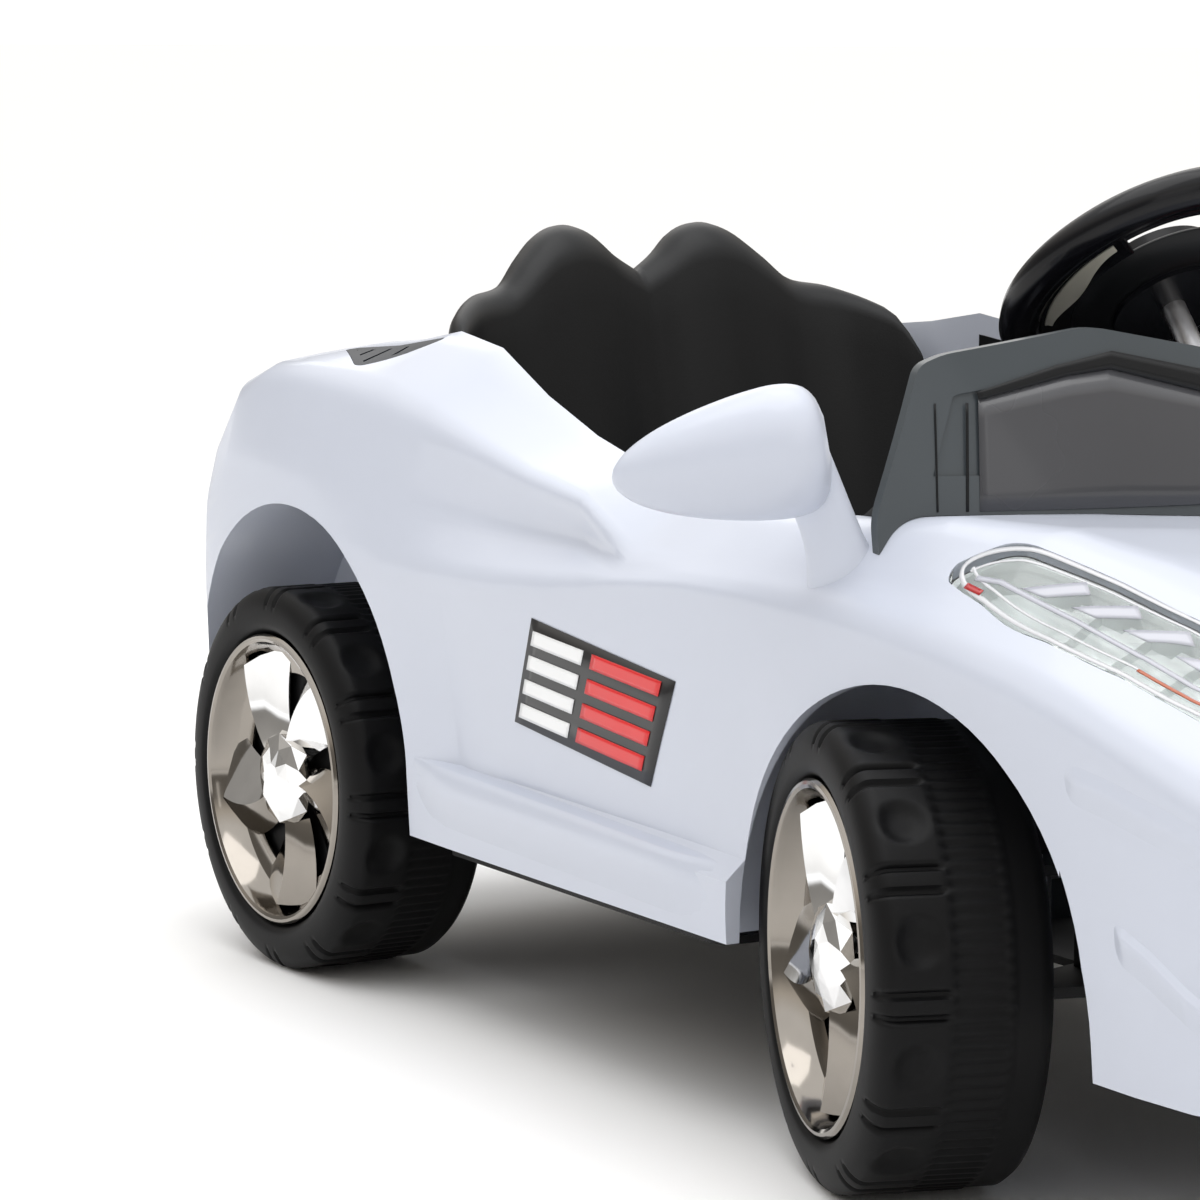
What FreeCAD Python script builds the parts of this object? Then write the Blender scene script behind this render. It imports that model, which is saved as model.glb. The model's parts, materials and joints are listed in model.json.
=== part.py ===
import FreeCAD, Part
import math
import os

# Electric ride-on car for one small child, in millimetres.
# +X points forward, +Y to the car's left, +Z up. The origin is on the ground, under the middle of the car.
# The front wheels stand turned to the right, and every steering piece stands at that same angle.

Vector = FreeCAD.Vector

# Overall sizes
overall_length = 1000.0
body_half_width = 242.0
body_height = 355.0
wheelbase = 563.0
rear_overhang = 163.5
half_track = 210.0
wall = 3.6
overrun = 60.0
seat_gap = 0.3
running_gap = 0.05

# Wheels
wheel_radius = 105.0
wheel_half_width = 41.0
rim_radius = 80.0
tread_wall = 5.0
web_wall = 4.0
web_face = 20.0
lip_step = 2.6
hub_radius = 13.0
hub_inner_end = 36.0
axle_radius = 6.0
block_count = 12
block_groove_width = 5.0
block_groove_depth = 3.0
tread_band_edge = 5.0
back_rib_count = 6
back_rib_wall = 3.0
back_rib_depth = 14.0
nut_radius = 9.5
nut_length = 6.0

# Hub caps
cap_hub_radius = 22.0
cap_lip = 6.0
cap_wall = 2.0
dome_face = 38.0
blade_count = 5
blade_pitch = 24.0
blade_root_share = 0.2
blade_tip_share = 0.36
blade_lean_share = 0.5

# Wheel arches
rear_arch_radius = 128.5
rear_arch_rise = 22.0
front_arch_radius = 132.0
front_arch_rise = -7.0
front_arch_lead = 7.0
front_well_growth = 10.0
front_well_face = 105.0
rear_well_face = 155.0
arch_skin = 18.0
liner_slot = 14.0
linkage_rear = 66.0
linkage_front = 26.0
linkage_top = 152.0

# Cockpit opening
cockpit_rear_offset = 63.5
cockpit_front_offset = 1.5
cockpit_corner_offset = 43.5
cockpit_half_width_rear = 164.0
cockpit_half_width_front = 188.0
cockpit_round = 40.0
cockpit_front_round = 16.0
cockpit_nose_round = 80.0
liner_wall = 3.0
liner_drop = 12.0
liner_rear = 262.0

# Floor tray
tray_bottom = 84.0
tray_floor = 4.0
tray_rim = 18.0
tray_rim_wall = 4.0
tray_rim_inset = 20.0
tray_fit = 1.5
tray_step = 10.0
tray_rear = 474.0
tray_half_width = 216.0
tray_nose_half_width = 196.0
tray_nose = 456.0
tray_nose_tip = 160.0
tray_round = 10.0
bearing_y = 90.0
bearing_half_wall = 3.0
bearing_half_length = 18.0
bearing_radius = 16.0

# Body lines: shares of the length from the tail, of the half width and of the body height
foot_shares = (
    (0.0, 0.735, 0.372), (0.02, 0.847, 0.349), (0.05, 0.917, 0.327), (0.115, 0.959, 0.299),
    (0.295, 0.959, 0.262), (0.61, 0.955, 0.259), (0.745, 0.934, 0.248), (0.875, 0.9, 0.228),
    (0.935, 0.868, 0.225), (0.97, 0.777, 0.225), (0.99, 0.62, 0.228), (1.0, 0.413, 0.234))
sill_shares = (
    (0.0, 0.752, 0.411), (0.02, 0.876, 0.394), (0.05, 0.946, 0.383), (0.115, 0.979, 0.369),
    (0.295, 0.967, 0.355), (0.61, 0.963, 0.344), (0.745, 0.942, 0.338), (0.875, 0.913, 0.327),
    (0.935, 0.88, 0.321), (0.97, 0.793, 0.315), (0.99, 0.636, 0.31), (1.0, 0.426, 0.304))
ledge_shares = (
    (0.0, 0.76, 0.428), (0.02, 0.888, 0.417), (0.05, 0.959, 0.411), (0.115, 0.988, 0.4),
    (0.28, 0.983, 0.389), (0.295, 0.93, 0.386), (0.61, 0.926, 0.372), (0.63, 0.946, 0.369),
    (0.745, 0.946, 0.369), (0.875, 0.917, 0.361), (0.935, 0.884, 0.355), (0.97, 0.798, 0.349),
    (0.99, 0.64, 0.341), (1.0, 0.426, 0.332))
belt_shares = (
    (0.0, 0.769, 0.451), (0.02, 0.901, 0.535), (0.05, 0.967, 0.606), (0.095, 0.988, 0.642),
    (0.165, 1.0, 0.659), (0.287, 0.988, 0.662), (0.385, 0.983, 0.676), (0.453, 0.979, 0.693),
    (0.582, 0.959, 0.721), (0.665, 0.95, 0.715), (0.745, 0.946, 0.699), (0.825, 0.934, 0.665),
    (0.885, 0.905, 0.614), (0.935, 0.86, 0.561), (0.97, 0.764, 0.507), (0.99, 0.612, 0.456),
    (1.0, 0.413, 0.411))
valley_shares = (
    (0.0, 0.76, 0.468), (0.02, 0.897, 0.597), (0.05, 0.963, 0.699), (0.095, 0.975, 0.766),
    (0.165, 0.983, 0.777), (0.245, 0.963, 0.766), (0.295, 0.934, 0.755), (0.385, 0.886, 0.738),
    (0.453, 0.884, 0.738), (0.507, 0.946, 0.721), (0.582, 0.942, 0.738), (0.665, 0.934, 0.738),
    (0.745, 0.926, 0.727), (0.825, 0.905, 0.696), (0.885, 0.872, 0.645), (0.935, 0.818, 0.592),
    (0.97, 0.719, 0.532), (0.99, 0.57, 0.476), (1.0, 0.397, 0.423))
shoulder_shares = (
    (0.0, 0.744, 0.479), (0.02, 0.876, 0.662), (0.05, 0.926, 0.803), (0.08, 0.926, 0.896),
    (0.125, 0.926, 0.927), (0.188, 0.921, 0.921), (0.296, 0.917, 0.876), (0.39, 0.913, 0.82),
    (0.44, 0.913, 0.803), (0.507, 0.917, 0.74), (0.582, 0.913, 0.752), (0.665, 0.897, 0.761),
    (0.745, 0.868, 0.761), (0.825, 0.826, 0.727), (0.885, 0.773, 0.679), (0.935, 0.702, 0.623),
    (0.97, 0.603, 0.561), (0.99, 0.471, 0.496), (1.0, 0.347, 0.434))
crown_shares = (
    (0.0, 0.496, 0.485), (0.02, 0.62, 0.69), (0.05, 0.682, 0.837), (0.08, 0.711, 0.921),
    (0.125, 0.723, 0.952), (0.188, 0.719, 0.972), (0.25, 0.707, 1.0), (0.277, 0.702, 0.989),
    (0.319, 0.707, 0.938), (0.381, 0.715, 0.882), (0.425, 0.731, 0.848), (0.507, 0.769, 0.825),
    (0.582, 0.798, 0.82), (0.665, 0.826, 0.831), (0.705, 0.818, 0.848), (0.745, 0.736, 0.848),
    (0.79, 0.653, 0.828), (0.845, 0.579, 0.789), (0.895, 0.521, 0.735), (0.935, 0.463, 0.668),
    (0.97, 0.364, 0.594), (0.99, 0.273, 0.518), (1.0, 0.207, 0.445))
centre_shares = (
    (0.0, 0.0, 0.487), (0.02, 0.0, 0.704), (0.05, 0.0, 0.851), (0.08, 0.0, 0.932),
    (0.125, 0.0, 0.958), (0.188, 0.0, 0.966), (0.25, 0.0, 0.958), (0.381, 0.0, 0.859),
    (0.507, 0.0, 0.817), (0.665, 0.0, 0.82), (0.705, 0.0, 0.825), (0.745, 0.0, 0.82),
    (0.79, 0.0, 0.803), (0.845, 0.0, 0.766), (0.895, 0.0, 0.715), (0.935, 0.0, 0.654),
    (0.97, 0.0, 0.583), (0.99, 0.0, 0.51), (1.0, 0.0, 0.439))
belt_round = 12.0
valley_round = 14.0
shoulder_round = 18.0
crown_round = 20.0
centre_round = 60.0
round_limit_share = 0.45
station_count = 28

# Headlamps and shoulder intakes: plan outlines as shares of the length from the middle and of the half width
lamp_shares = (
    (0.231, 0.847), (0.29, 0.868), (0.345, 0.835), (0.4, 0.785), (0.447, 0.67),
    (0.405, 0.59), (0.35, 0.655), (0.297, 0.7), (0.255, 0.745))
lamp_round = 12.0
reflector_depth = 15.0
reflector_wall = 2.0
lamp_bar_count = 4
lamp_bar_width = 11.0
lamp_bar_height = 5.0
lamp_bar_first = 292.0
lamp_bar_pitch = 27.0
intake_shares = ((-0.368, 0.775), (-0.262, 0.735), (-0.31, 0.872))
intake_round = 7.0
intake_frame = 5.0
intake_slot_count = 4
intake_slot = 3.0
intake_slot_first = 348.0
intake_slot_pitch = 17.0

# Tail lamps and grille
tail_lamp_inner = 96.0
tail_lamp_outer = 176.0
tail_lamp_low = 236.0
tail_lamp_high = 262.0
grille_half_width = 84.0
grille_low = 98.0
grille_high = 132.0
grille_bar_count = 9
grille_slot = 8.0
nose_reach = 40.0

# Windscreen: outline as shares of its half width and of the height of its top
screen_wall = 5.0
screen_low = 262.0
screen_high = 392.0
screen_foot_x = 241.0
screen_top_x = 193.0
screen_foot_sag = 52.0
screen_top_sag = 24.0
screen_half_width = 214.0
screen_shares = ((0.0, 0.923), (0.453, 0.969), (0.8, 0.941), (0.856, 0.929), (0.972, 0.76), (0.972, 0.672))
screen_panel_depth = 1.6
screen_panel_inset = 18.0
screen_round = 9.0

# Mirrors
mirror_root = (168.0, -222.0, 326.0)
mirror_tip = (117.0, -303.0, 313.0)
mirror_half_height = 30.0
mirror_half_depth = 22.0
mirror_flats = 20
mirror_shares = ((0.0, 0.42), (0.06, 0.66), (0.16, 0.87), (0.34, 1.0), (0.5, 0.95), (0.68, 0.8),
                 (0.88, 0.5), (1.0, 0.2))
mirror_face_share = 0.35
mirror_foot = (186.0, -212.0, 262.0)
mirror_foot_length = 23.0
mirror_foot_width = 8.0
mirror_neck_share = 0.5
mirror_glass_wall = 2.0
mirror_glass_share = 0.72

# Seat: shares of the wing's half width, the hump's height, the hump's depth and the wing's reach forward
seat_back_x = 376.0
seat_back_lean = 58.0
seat_wall = 13.0
seat_cushion_top = 182.0
seat_cushion_front = 96.0
seat_cushion_lift = 8.0
seat_half_width = 142.0
seat_wing_half_width = 150.0
seat_hump_top = 402.0
seat_wing_forward = 52.0
seat_hump_depth = 40.0
seat_back_shares = ((0.0, 0.933, 0.6, 0.0), (0.15, 0.965, 0.8, 0.0), (0.307, 1.0, 1.0, 0.04),
                    (0.47, 0.96, 0.85, 0.1), (0.66, 0.9, 0.65, 0.24), (0.84, 0.893, 0.6, 0.5),
                    (0.95, 0.865, 0.55, 0.82), (1.0, 0.82, 0.45, 1.0))
seat_top_round_share = 0.44
seat_slices = 12

# Dashboard, switches and charge socket
dash_wall = 4.0
dash_half_width = 180.0
dash_shares = ((0.0, 0.8), (0.24, 0.97), (0.72, 1.0), (0.95, 0.86), (1.0, 0.55), (0.84, 0.0), (0.64, 0.0))
dash_front = 224.0
dash_depth = 92.0
dash_low = 214.0
dash_high = 302.0
dash_round = 8.0
switch_half_width = 7.0
switch_half_length = 11.0
switch_x = 172.0
switch_places = (46.0, 76.0)
switch_play = 1.4
switch_rise = 4.0
socket_radius = 2.8
socket_outer = 7.0
socket_length = 16.0
socket_y = 118.0

# Steering wheel and column
steering_tilt = 40.0
steering_at_rest = -18.0
steering_centre_x = 117.0
steering_centre_z = 396.0
steering_radius = 81.0
steering_rim_radius = 10.0
grip_flats = 12
spoke_half_width = 15.0
spoke_wall = 7.0
spoke_root_share = 0.6
spoke_angles = (90.0, 270.0, 180.0)
boss_radius = 30.0
boss_length = 26.0
boss_back_share = 0.7
horn_radius = 17.0
horn_travel = 3.0
horn_length = 12.0
blade_wall = 2.0
blade_tip_width_share = 0.5
blade_root_width_share = 0.85
column_radius = 6.0
column_end_z = 205.0
crank_pin_end = 122.0
crank_pin_radius = 4.0
slot_play = 1.4
post_radius = 12.0
post_length = 26.0
post_rise = 26.0
post_foot_x = 346.0
post_half_width = 10.0
post_shares = ((0.08, 1.09), (0.62, 1.0), (1.0, 0.0), (0.667, 0.0), (0.535, 0.78), (0.13, 0.985))
bush_z = 302.0
bush_radius = 10.0
bush_length = 18.0
bush_flange = 14.0
bush_flange_wall = 3.0

# Knuckles and tie rod
arm_length = 45.0
kingpin_y = 152.0
kingpin_radius = 5.0
stub_shoulder = 9.0
barrel_radius = 11.0
carrier_wall = 5.0
carrier_half_length = 20.0
carrier_low = 84.0
carrier_high = 145.0
arm_top = 127.0
arm_wall = 6.0
tie_wall = 5.0
tie_half_width = 9.0
pin_radius = 4.0
pin_head = 3.0
pin_head_radius = 7.0

# Gear train and motor
gear_module = 1.25
fine_module = 1.0
root_share = 1.25
output_teeth = 36
second_teeth = 36
first_teeth = 32
pinion_teeth = 12
gear_width = 9.0
gear_lane = 12.0
gearbox_inner = 100.0
gearbox_wall = 3.0
gear_clear = 2.0
second_angle = 62.0
first_angle = 12.0
motor_angle = -28.0
pressure_angle = 25.0
backlash = 0.16
shaft_radius = 3.0
motor_radius = 17.5
motor_length = 55.0
motor_shaft_radius = 1.6
dog_radius = 10.0

# Battery, control box and pedal
battery_size = (100.0, 70.0, 48.0)
battery_rear = 236.0
terminal_radius = 5.0
terminal_pitch = 36.0
control_size = (84.0, 52.0, 30.0)
control_rear = 280.0
control_y = 60.0
control_fin_count = 5
pedal_x = 52.0
pedal_rise = 12.0
pedal_y = -46.0
pedal_half_width = 26.0
pedal_length = 84.0
pedal_wall = 5.0
pedal_tilt = 35.0
pedal_pin_radius = 2.0
pedal_barrel_radius = 5.0
pedal_ear_wall = 4.0
pedal_rib_count = 6
pedal_switch_x = 94.0
pedal_switch_size = (18.0, 14.0, 22.0)
plunger_radius = 3.0
plunger_length = 5.0


def line_at(shares, share):
    """Smooth line through a table of shares, without overshoot between its points."""
    places = [row[0] for row in shares]
    index = max(0, min(len(places) - 2, sum(place <= share for place in places) - 1))
    values = []
    for column in range(1, len(shares[0])):
        heights = [row[column] for row in shares]
        steps = [b - a for a, b in zip(places, places[1:])]
        grades = [(heights[i + 1] - heights[i]) / steps[i] for i in range(len(steps))]

        def slope(i):
            if i == 0:
                return grades[0]
            if i == len(grades):
                return grades[-1]
            if grades[i - 1] * grades[i] <= 0:
                return 0
            return 2 * grades[i - 1] * grades[i] / (grades[i - 1] + grades[i])

        step = steps[index]
        t = (share - places[index]) / step
        values.append(
            (2 * t ** 3 - 3 * t ** 2 + 1) * heights[index] + (t ** 3 - 2 * t ** 2 + t) * step * slope(index)
            + (3 * t ** 2 - 2 * t ** 3) * heights[index + 1] + (t ** 3 - t ** 2) * step * slope(index + 1))
    return values


def soft_blend(start, corner, end):
    """Curve that leaves one side of a corner and joins the other, flattest at its ends."""
    blend = Part.BezierCurve()
    blend.setPoles([start, corner, end])
    return blend.toShape()


def round_blend(start, corner, end):
    """Arc that touches both sides of a corner at equal reach."""
    inward = (start + end) / 2 - corner
    reach = start.distanceToPoint(corner)
    lean = inward.Length / reach
    middle = corner + inward.normalize() * (reach * (1 - math.sqrt(1 - lean ** 2)) / lean)
    return Part.Arc(start, middle, end).toShape()


def rounded_wire(corners, rounds, blend=round_blend):
    """Closed wire through corners, each one blended over its own reach along both sides."""
    count = len(corners)
    reaches = []
    for i, corner in enumerate(corners):
        before = corner.distanceToPoint(corners[i - 1])
        after = corner.distanceToPoint(corners[(i + 1) % count])
        limits = (rounds[i], round_limit_share * before, round_limit_share * after)
        reaches.append(sum(limit ** -2 for limit in limits) ** -0.5 if rounds[i] else 0)
    starts = []
    ends = []
    for i, corner in enumerate(corners):
        starts.append(corner + (corners[i - 1] - corner).normalize() * reaches[i])
        ends.append(corner + (corners[(i + 1) % count] - corner).normalize() * reaches[i])
    edges = []
    for i, corner in enumerate(corners):
        if reaches[i] > 0:
            edges.append(blend(starts[i], corner, ends[i]))
        edges.append(Part.LineSegment(ends[i], starts[(i + 1) % count]).toShape())
    return Part.Wire(edges)


body_lines = (
    (foot_shares, 0), (sill_shares, 0), (ledge_shares, 0), (belt_shares, belt_round),
    (valley_shares, valley_round), (shoulder_shares, shoulder_round), (crown_shares, crown_round))


def body_section(share, x, inset, foot_drop):
    """Closed cross-section of the body at one share of its length, moved in by inset."""
    corners = []
    rounds = []
    for number, (shares, reach) in enumerate(body_lines):
        width, height = line_at(shares, share)
        drop = inset if number > 2 else 0
        corners.append(Vector(x, -(width * body_half_width - inset), height * body_height - drop))
        rounds.append(0 if inset else reach)
    corners[0].z -= foot_drop
    top = line_at(centre_shares, share)[1] * body_height - inset
    left = [Vector(x, -corner.y, corner.z) for corner in reversed(corners)]
    return rounded_wire(corners + [Vector(x, 0, top)] + left,
                        rounds + [0 if inset else centre_round] + rounds[::-1], soft_blend)


def body_loft(inset, foot_drop):
    """Solid through cross-sections that crowd towards the tail and the nose."""
    wires = []
    for i in range(station_count + 1):
        share = (1 - math.cos(math.pi * i / station_count)) / 2
        x = (share - 1 / 2) * (overall_length - 2 * inset)
        wires.append(body_section(share, x, inset, foot_drop))
    return Part.makeLoft(wires, True, True)


# Places that follow from the sizes
rear_axle_x = rear_overhang - overall_length / 2
front_axle_x = rear_axle_x + wheelbase
floor_top = tray_bottom + tray_floor
tilt = math.radians(steering_tilt)
column_down = Vector(math.sin(tilt), 0, -math.cos(tilt))
crank_out = Vector(-math.cos(tilt), 0, -math.sin(tilt))
steering_centre = Vector(steering_centre_x, 0, steering_centre_z)
tie_low = arm_top + seat_gap
tie_high = tie_low + tie_wall
pieces = {}


def column_at(z):
    """Point of the steering column's axis at one height."""
    return steering_centre + column_down * ((steering_centre.z - z) / math.cos(tilt))


def box(low, high):
    return Part.makeBox(high[0] - low[0], high[1] - low[1], high[2] - low[2], Vector(*low))


def rod(start, end, radius):
    along = end - start
    return Part.makeCylinder(radius, along.Length, start, along)


def sleeve(start, end, radius, bore):
    along = (end - start).normalize() * overrun
    return rod(start, end, radius).cut(rod(start - along, end + along, bore))


def upright(outline, low, high):
    """Solid between two heights over a closed outline in plan."""
    face = Part.Face(outline)
    face.translate(Vector(0, 0, low - outline.BoundBox.ZMin))
    return face.extrude(Vector(0, 0, high - low))


def across(corners, rounds, half_width):
    """Solid over a side-view outline, from one side of the car to the other."""
    wire = rounded_wire([Vector(x, -half_width, z) for x, z in corners], rounds)
    return Part.Face(wire).extrude(Vector(0, 2 * half_width, 0))


def mirrored(shape):
    return shape.mirror(Vector(0, 0, 0), Vector(0, 1, 0))


def both_sides(shape):
    return shape.fuse(mirrored(shape))


def pair(name, right_shape):
    pieces[name + "_right"] = right_shape
    pieces[name + "_left"] = mirrored(right_shape)


def turned(shape, centre, axis, angle):
    copy = shape.copy()
    copy.rotate(centre, axis, angle)
    return copy


def link_outline(circles):
    """Closed outline of outer tangents and arcs round circles listed anticlockwise."""
    edges = []
    arcs = []
    count = len(circles)
    for i in range(count):
        x0, y0, r0 = circles[i]
        x1, y1, r1 = circles[(i + 1) % count]
        heading = math.atan2(y1 - y0, x1 - x0)
        lean = math.acos((r0 - r1) / math.hypot(x1 - x0, y1 - y0))
        arcs.append(heading - lean)
    for i, (x, y, r) in enumerate(circles):
        start = arcs[i - 1]
        end = arcs[i]
        while end < start:
            end += 2 * math.pi
        places = [Vector(x + r * math.cos(a), y + r * math.sin(a), 0)
                  for a in (start, (start + end) / 2, end)]
        edges.append(Part.Arc(*places).toShape())
        nx, ny, nr = circles[(i + 1) % count]
        landing = Vector(nx + nr * math.cos(arcs[i]), ny + nr * math.sin(arcs[i]), 0)
        edges.append(Part.LineSegment(places[2], landing).toShape())
    return Part.Wire(Part.__sortEdges__(edges))


# Body shell
def arch(axle_x, lead, rise, radius, face, outer_face):
    """Right wheel well: a round top over straight sides, from its inner face outwards."""
    centre = Vector(axle_x + lead, -face, wheel_radius + rise)
    top = Part.makeCylinder(radius, outer_face - face, centre, Vector(0, -1, 0))
    legs = box((centre.x - radius, -outer_face, -overrun), (centre.x + radius, -face, centre.z))
    return top.fuse(legs)


def wells(growth):
    """All four wheel wells, grown by one wall to give their liners."""
    reach = body_half_width + overrun
    rear = arch(rear_axle_x, 0, rear_arch_rise, rear_arch_radius + growth, rear_well_face - growth, reach)
    front = arch(front_axle_x, front_arch_lead, front_arch_rise, front_arch_radius + growth,
                 front_well_face - growth, reach)
    deep = arch(front_axle_x, front_arch_lead - front_well_growth, front_arch_rise,
                front_arch_radius + front_well_growth + growth, front_well_face - growth,
                body_half_width - arch_skin + growth)
    return both_sides(rear.fuse([front, deep]))


def cockpit(growth, low):
    """Room of the cockpit, widened by growth at both sides."""
    rear = rear_axle_x - cockpit_rear_offset
    corner = front_axle_x - cockpit_corner_offset
    front = front_axle_x - cockpit_front_offset
    right = [Vector(rear, -cockpit_half_width_rear - growth, low),
             Vector(corner, -cockpit_half_width_front - growth, low)]
    left = [Vector(corner, cockpit_half_width_front + growth, low),
            Vector(rear, cockpit_half_width_rear + growth, low)]
    rounds = [cockpit_round, cockpit_front_round, cockpit_nose_round, cockpit_front_round, cockpit_round]
    outline = rounded_wire(right + [Vector(front, 0, low)] + left, rounds)
    return upright(outline, low, body_height + overrun)


def inset_corners(corners, inset, normal):
    """Corners of a flat closed outline after each of its sides has moved inwards."""
    count = len(corners)
    area = sum(corners[i - 1].cross(corners[i]).dot(normal) for i in range(count))
    inward = math.copysign(1, area)
    sides = [normal.cross((corners[(i + 1) % count] - corners[i]).normalize()) * inward
             for i in range(count)]
    return [corner + (sides[i - 1] + sides[i]) * (inset / (1 + sides[i - 1].dot(sides[i])))
            for i, corner in enumerate(corners)]


def plan_prism(shares, reach, inset, low, high):
    """Right-hand prism over an outline in plan, with its sides moved inwards."""
    corners = [Vector(x * overall_length, -y * body_half_width, low) for x, y in shares]
    corners = inset_corners(corners, inset, Vector(0, 0, 1))
    return upright(rounded_wire(corners, [reach] * len(corners)), low, high)


outer = body_loft(0, 0)
cavity = body_loft(wall, overrun)
skin = outer.cut(cavity)
well_room = wells(0)
well_liners = wells(wall)
cockpit_room = cockpit(0, floor_top)
lamp_window = plan_prism(lamp_shares, lamp_round, 0, tray_bottom, body_height + overrun)
intake_window = plan_prism(intake_shares, intake_round, 0, body_height / 2, body_height + overrun)
tail_window = box((-overall_length / 2 - overrun, -tail_lamp_outer, tail_lamp_low),
                  (rear_axle_x, -tail_lamp_inner, tail_lamp_high))
grille_window = box((overall_length / 2 - nose_reach, -grille_half_width, grille_low),
                    (overall_length / 2 + overrun, grille_half_width, grille_high))


def body_shell():
    """Thin moulded skin with wheel-well liners and cockpit sides, open underneath."""
    sides_end = front_axle_x - cockpit_corner_offset - cockpit_front_round
    sides = cockpit(wall, floor_top).common(box((-overall_length, -body_half_width, 0),
                                                (sides_end, body_half_width, overall_length)))
    hollow = cavity.cut(well_liners).cut(sides)
    below = box((-overall_length, -overall_length, -overrun), (overall_length, overall_length, floor_top))
    hollow = hollow.fuse(cavity.common(below).cut(well_liners))
    shell = outer.cut(hollow).cut(cockpit_room.cut(well_liners)).cut(well_room)
    windows = [both_sides(lamp_window), both_sides(intake_window), both_sides(tail_window), grille_window]
    axle_slot = box((rear_axle_x - liner_slot, -rear_well_face - tray_fit, -overrun),
                    (rear_axle_x + liner_slot, rear_well_face + tray_fit, wheel_radius + liner_slot))
    linkage = box((front_axle_x - linkage_rear, -front_well_face - tray_fit, -overrun),
                  (front_axle_x + linkage_front, front_well_face + tray_fit, linkage_top))
    column_slot = rod(column_at(bush_z), column_at(column_end_z), column_radius + tray_fit)
    for window in windows + [axle_slot, linkage, column_slot]:
        shell = shell.cut(window)
    return shell



def lowered(depth):
    """The cavity moved down, whose top face lies at one depth under the skin."""
    copy = cavity.copy()
    copy.translate(Vector(0, 0, -depth))
    return copy


def headlamps():
    """Clear covers cut from the skin, over bright reflector bowls with stepped bars."""
    room = plan_prism(lamp_shares, lamp_round, seat_gap, tray_bottom, body_height + overrun)
    inside = plan_prism(lamp_shares, lamp_round, seat_gap + reflector_wall, tray_bottom,
                        body_height + overrun)
    pair("headlamp_lens", skin.common(room))
    under = lowered(reflector_depth + reflector_wall)
    bowl = lowered(seat_gap).common(room).cut(under).cut(inside.cut(lowered(reflector_depth)))
    bars = []
    bar_room = lowered(reflector_depth - lamp_bar_height).cut(lowered(reflector_depth)).common(inside)
    for i in range(lamp_bar_count):
        x = lamp_bar_first + i * lamp_bar_pitch
        bars.append(bar_room.common(box((x, -body_half_width, 0), (x + lamp_bar_width, 0, body_height))))
    pair("headlamp_reflector", bowl.fuse(bars))


def body_inserts():
    """Tail lamps, shoulder intakes and the nose grille, each set flush in its window."""
    lamp = box((-overall_length / 2 - overrun, -tail_lamp_outer + seat_gap, tail_lamp_low + seat_gap),
               (rear_axle_x, -tail_lamp_inner - seat_gap, tail_lamp_high - seat_gap))
    pair("tail_lamp", skin.common(lamp))
    insert = skin.common(plan_prism(intake_shares, intake_round, seat_gap, body_height / 2,
                                    body_height + overrun))
    louvre_room = plan_prism(intake_shares, 0, intake_frame, body_height / 2, body_height + overrun)
    for i in range(intake_slot_count):
        x = i * intake_slot_pitch - intake_slot_first
        louvre = box((x, -body_half_width, 0), (x + intake_slot, 0, overall_length)).common(louvre_room)
        insert = insert.cut(louvre)
    pair("shoulder_intake", insert)
    grille = skin.common(box((overall_length / 2 - nose_reach, -grille_half_width + seat_gap,
                              grille_low + seat_gap), (overall_length / 2 + overrun,
                                                       grille_half_width - seat_gap,
                                                       grille_high - seat_gap)))
    pitch = 2 * grille_half_width / grille_bar_count
    for i in range(grille_bar_count):
        middle = -grille_half_width + pitch * (i + 1 / 2)
        grille = grille.cut(box((0, middle - grille_slot / 2, grille_low + grille_slot),
                                (overall_length, middle + grille_slot / 2, grille_high - grille_slot)))
    pieces["front_grille"] = grille


def floor_tray():
    """Floor pan that narrows between the wheels, with upstands and bearings for the rear axle."""
    rear_clear = rear_axle_x + rear_arch_radius + tray_step
    front_clear = front_axle_x + front_arch_lead - front_arch_radius - 2 * front_well_growth - tray_step
    nose_clear = front_axle_x + front_arch_lead + front_arch_radius + tray_step
    rear_half = rear_well_face - wall - tray_fit
    front_half = front_well_face - wall - tray_fit
    right = [(-tray_rear, rear_half), (rear_clear, rear_half), (rear_clear, tray_half_width),
             (front_clear, tray_half_width), (front_clear, front_half), (nose_clear, front_half),
             (nose_clear, tray_nose_half_width), (tray_nose, tray_nose_tip)]
    corners = [Vector(x, -y, tray_bottom) for x, y in right] + [Vector(x, y, tray_bottom)
                                                                for x, y in right[::-1]]
    pan = upright(rounded_wire(corners, [tray_round] * len(corners)), tray_bottom, floor_top)
    rim_top = tray_bottom + tray_rim
    inner = tray_half_width - tray_rim_wall
    rim = box((rear_clear + tray_rim_inset, -tray_half_width, tray_bottom),
              (front_clear - tray_rim_inset, -inner, rim_top))
    tail = box((-tray_rear, tray_rim_inset - rear_half, tray_bottom),
               (tray_rim_wall - tray_rear, rear_half - tray_rim_inset, rim_top))
    pan = pan.fuse([rim, mirrored(rim), tail])
    axle_line = Vector(0, body_half_width, 0)
    axle_middle = Vector(rear_axle_x, 0, wheel_radius)
    for side in (-1, 1):
        low = side * bearing_y - bearing_half_wall
        high = side * bearing_y + bearing_half_wall
        foot = box((rear_axle_x - bearing_half_length, low, tray_bottom),
                   (rear_axle_x + bearing_half_length, high, wheel_radius))
        head = rod(Vector(rear_axle_x, low, wheel_radius), Vector(rear_axle_x, high, wheel_radius),
                   bearing_radius)
        pan = pan.fuse([foot, head])
    pan = pan.cut(rod(axle_middle - axle_line, axle_middle + axle_line, axle_radius))
    return pan.cut(standing(case_outline(gearbox_wall + seat_gap), gearbox_inner - seat_gap,
                            gearbox_outer + seat_gap))


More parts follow.
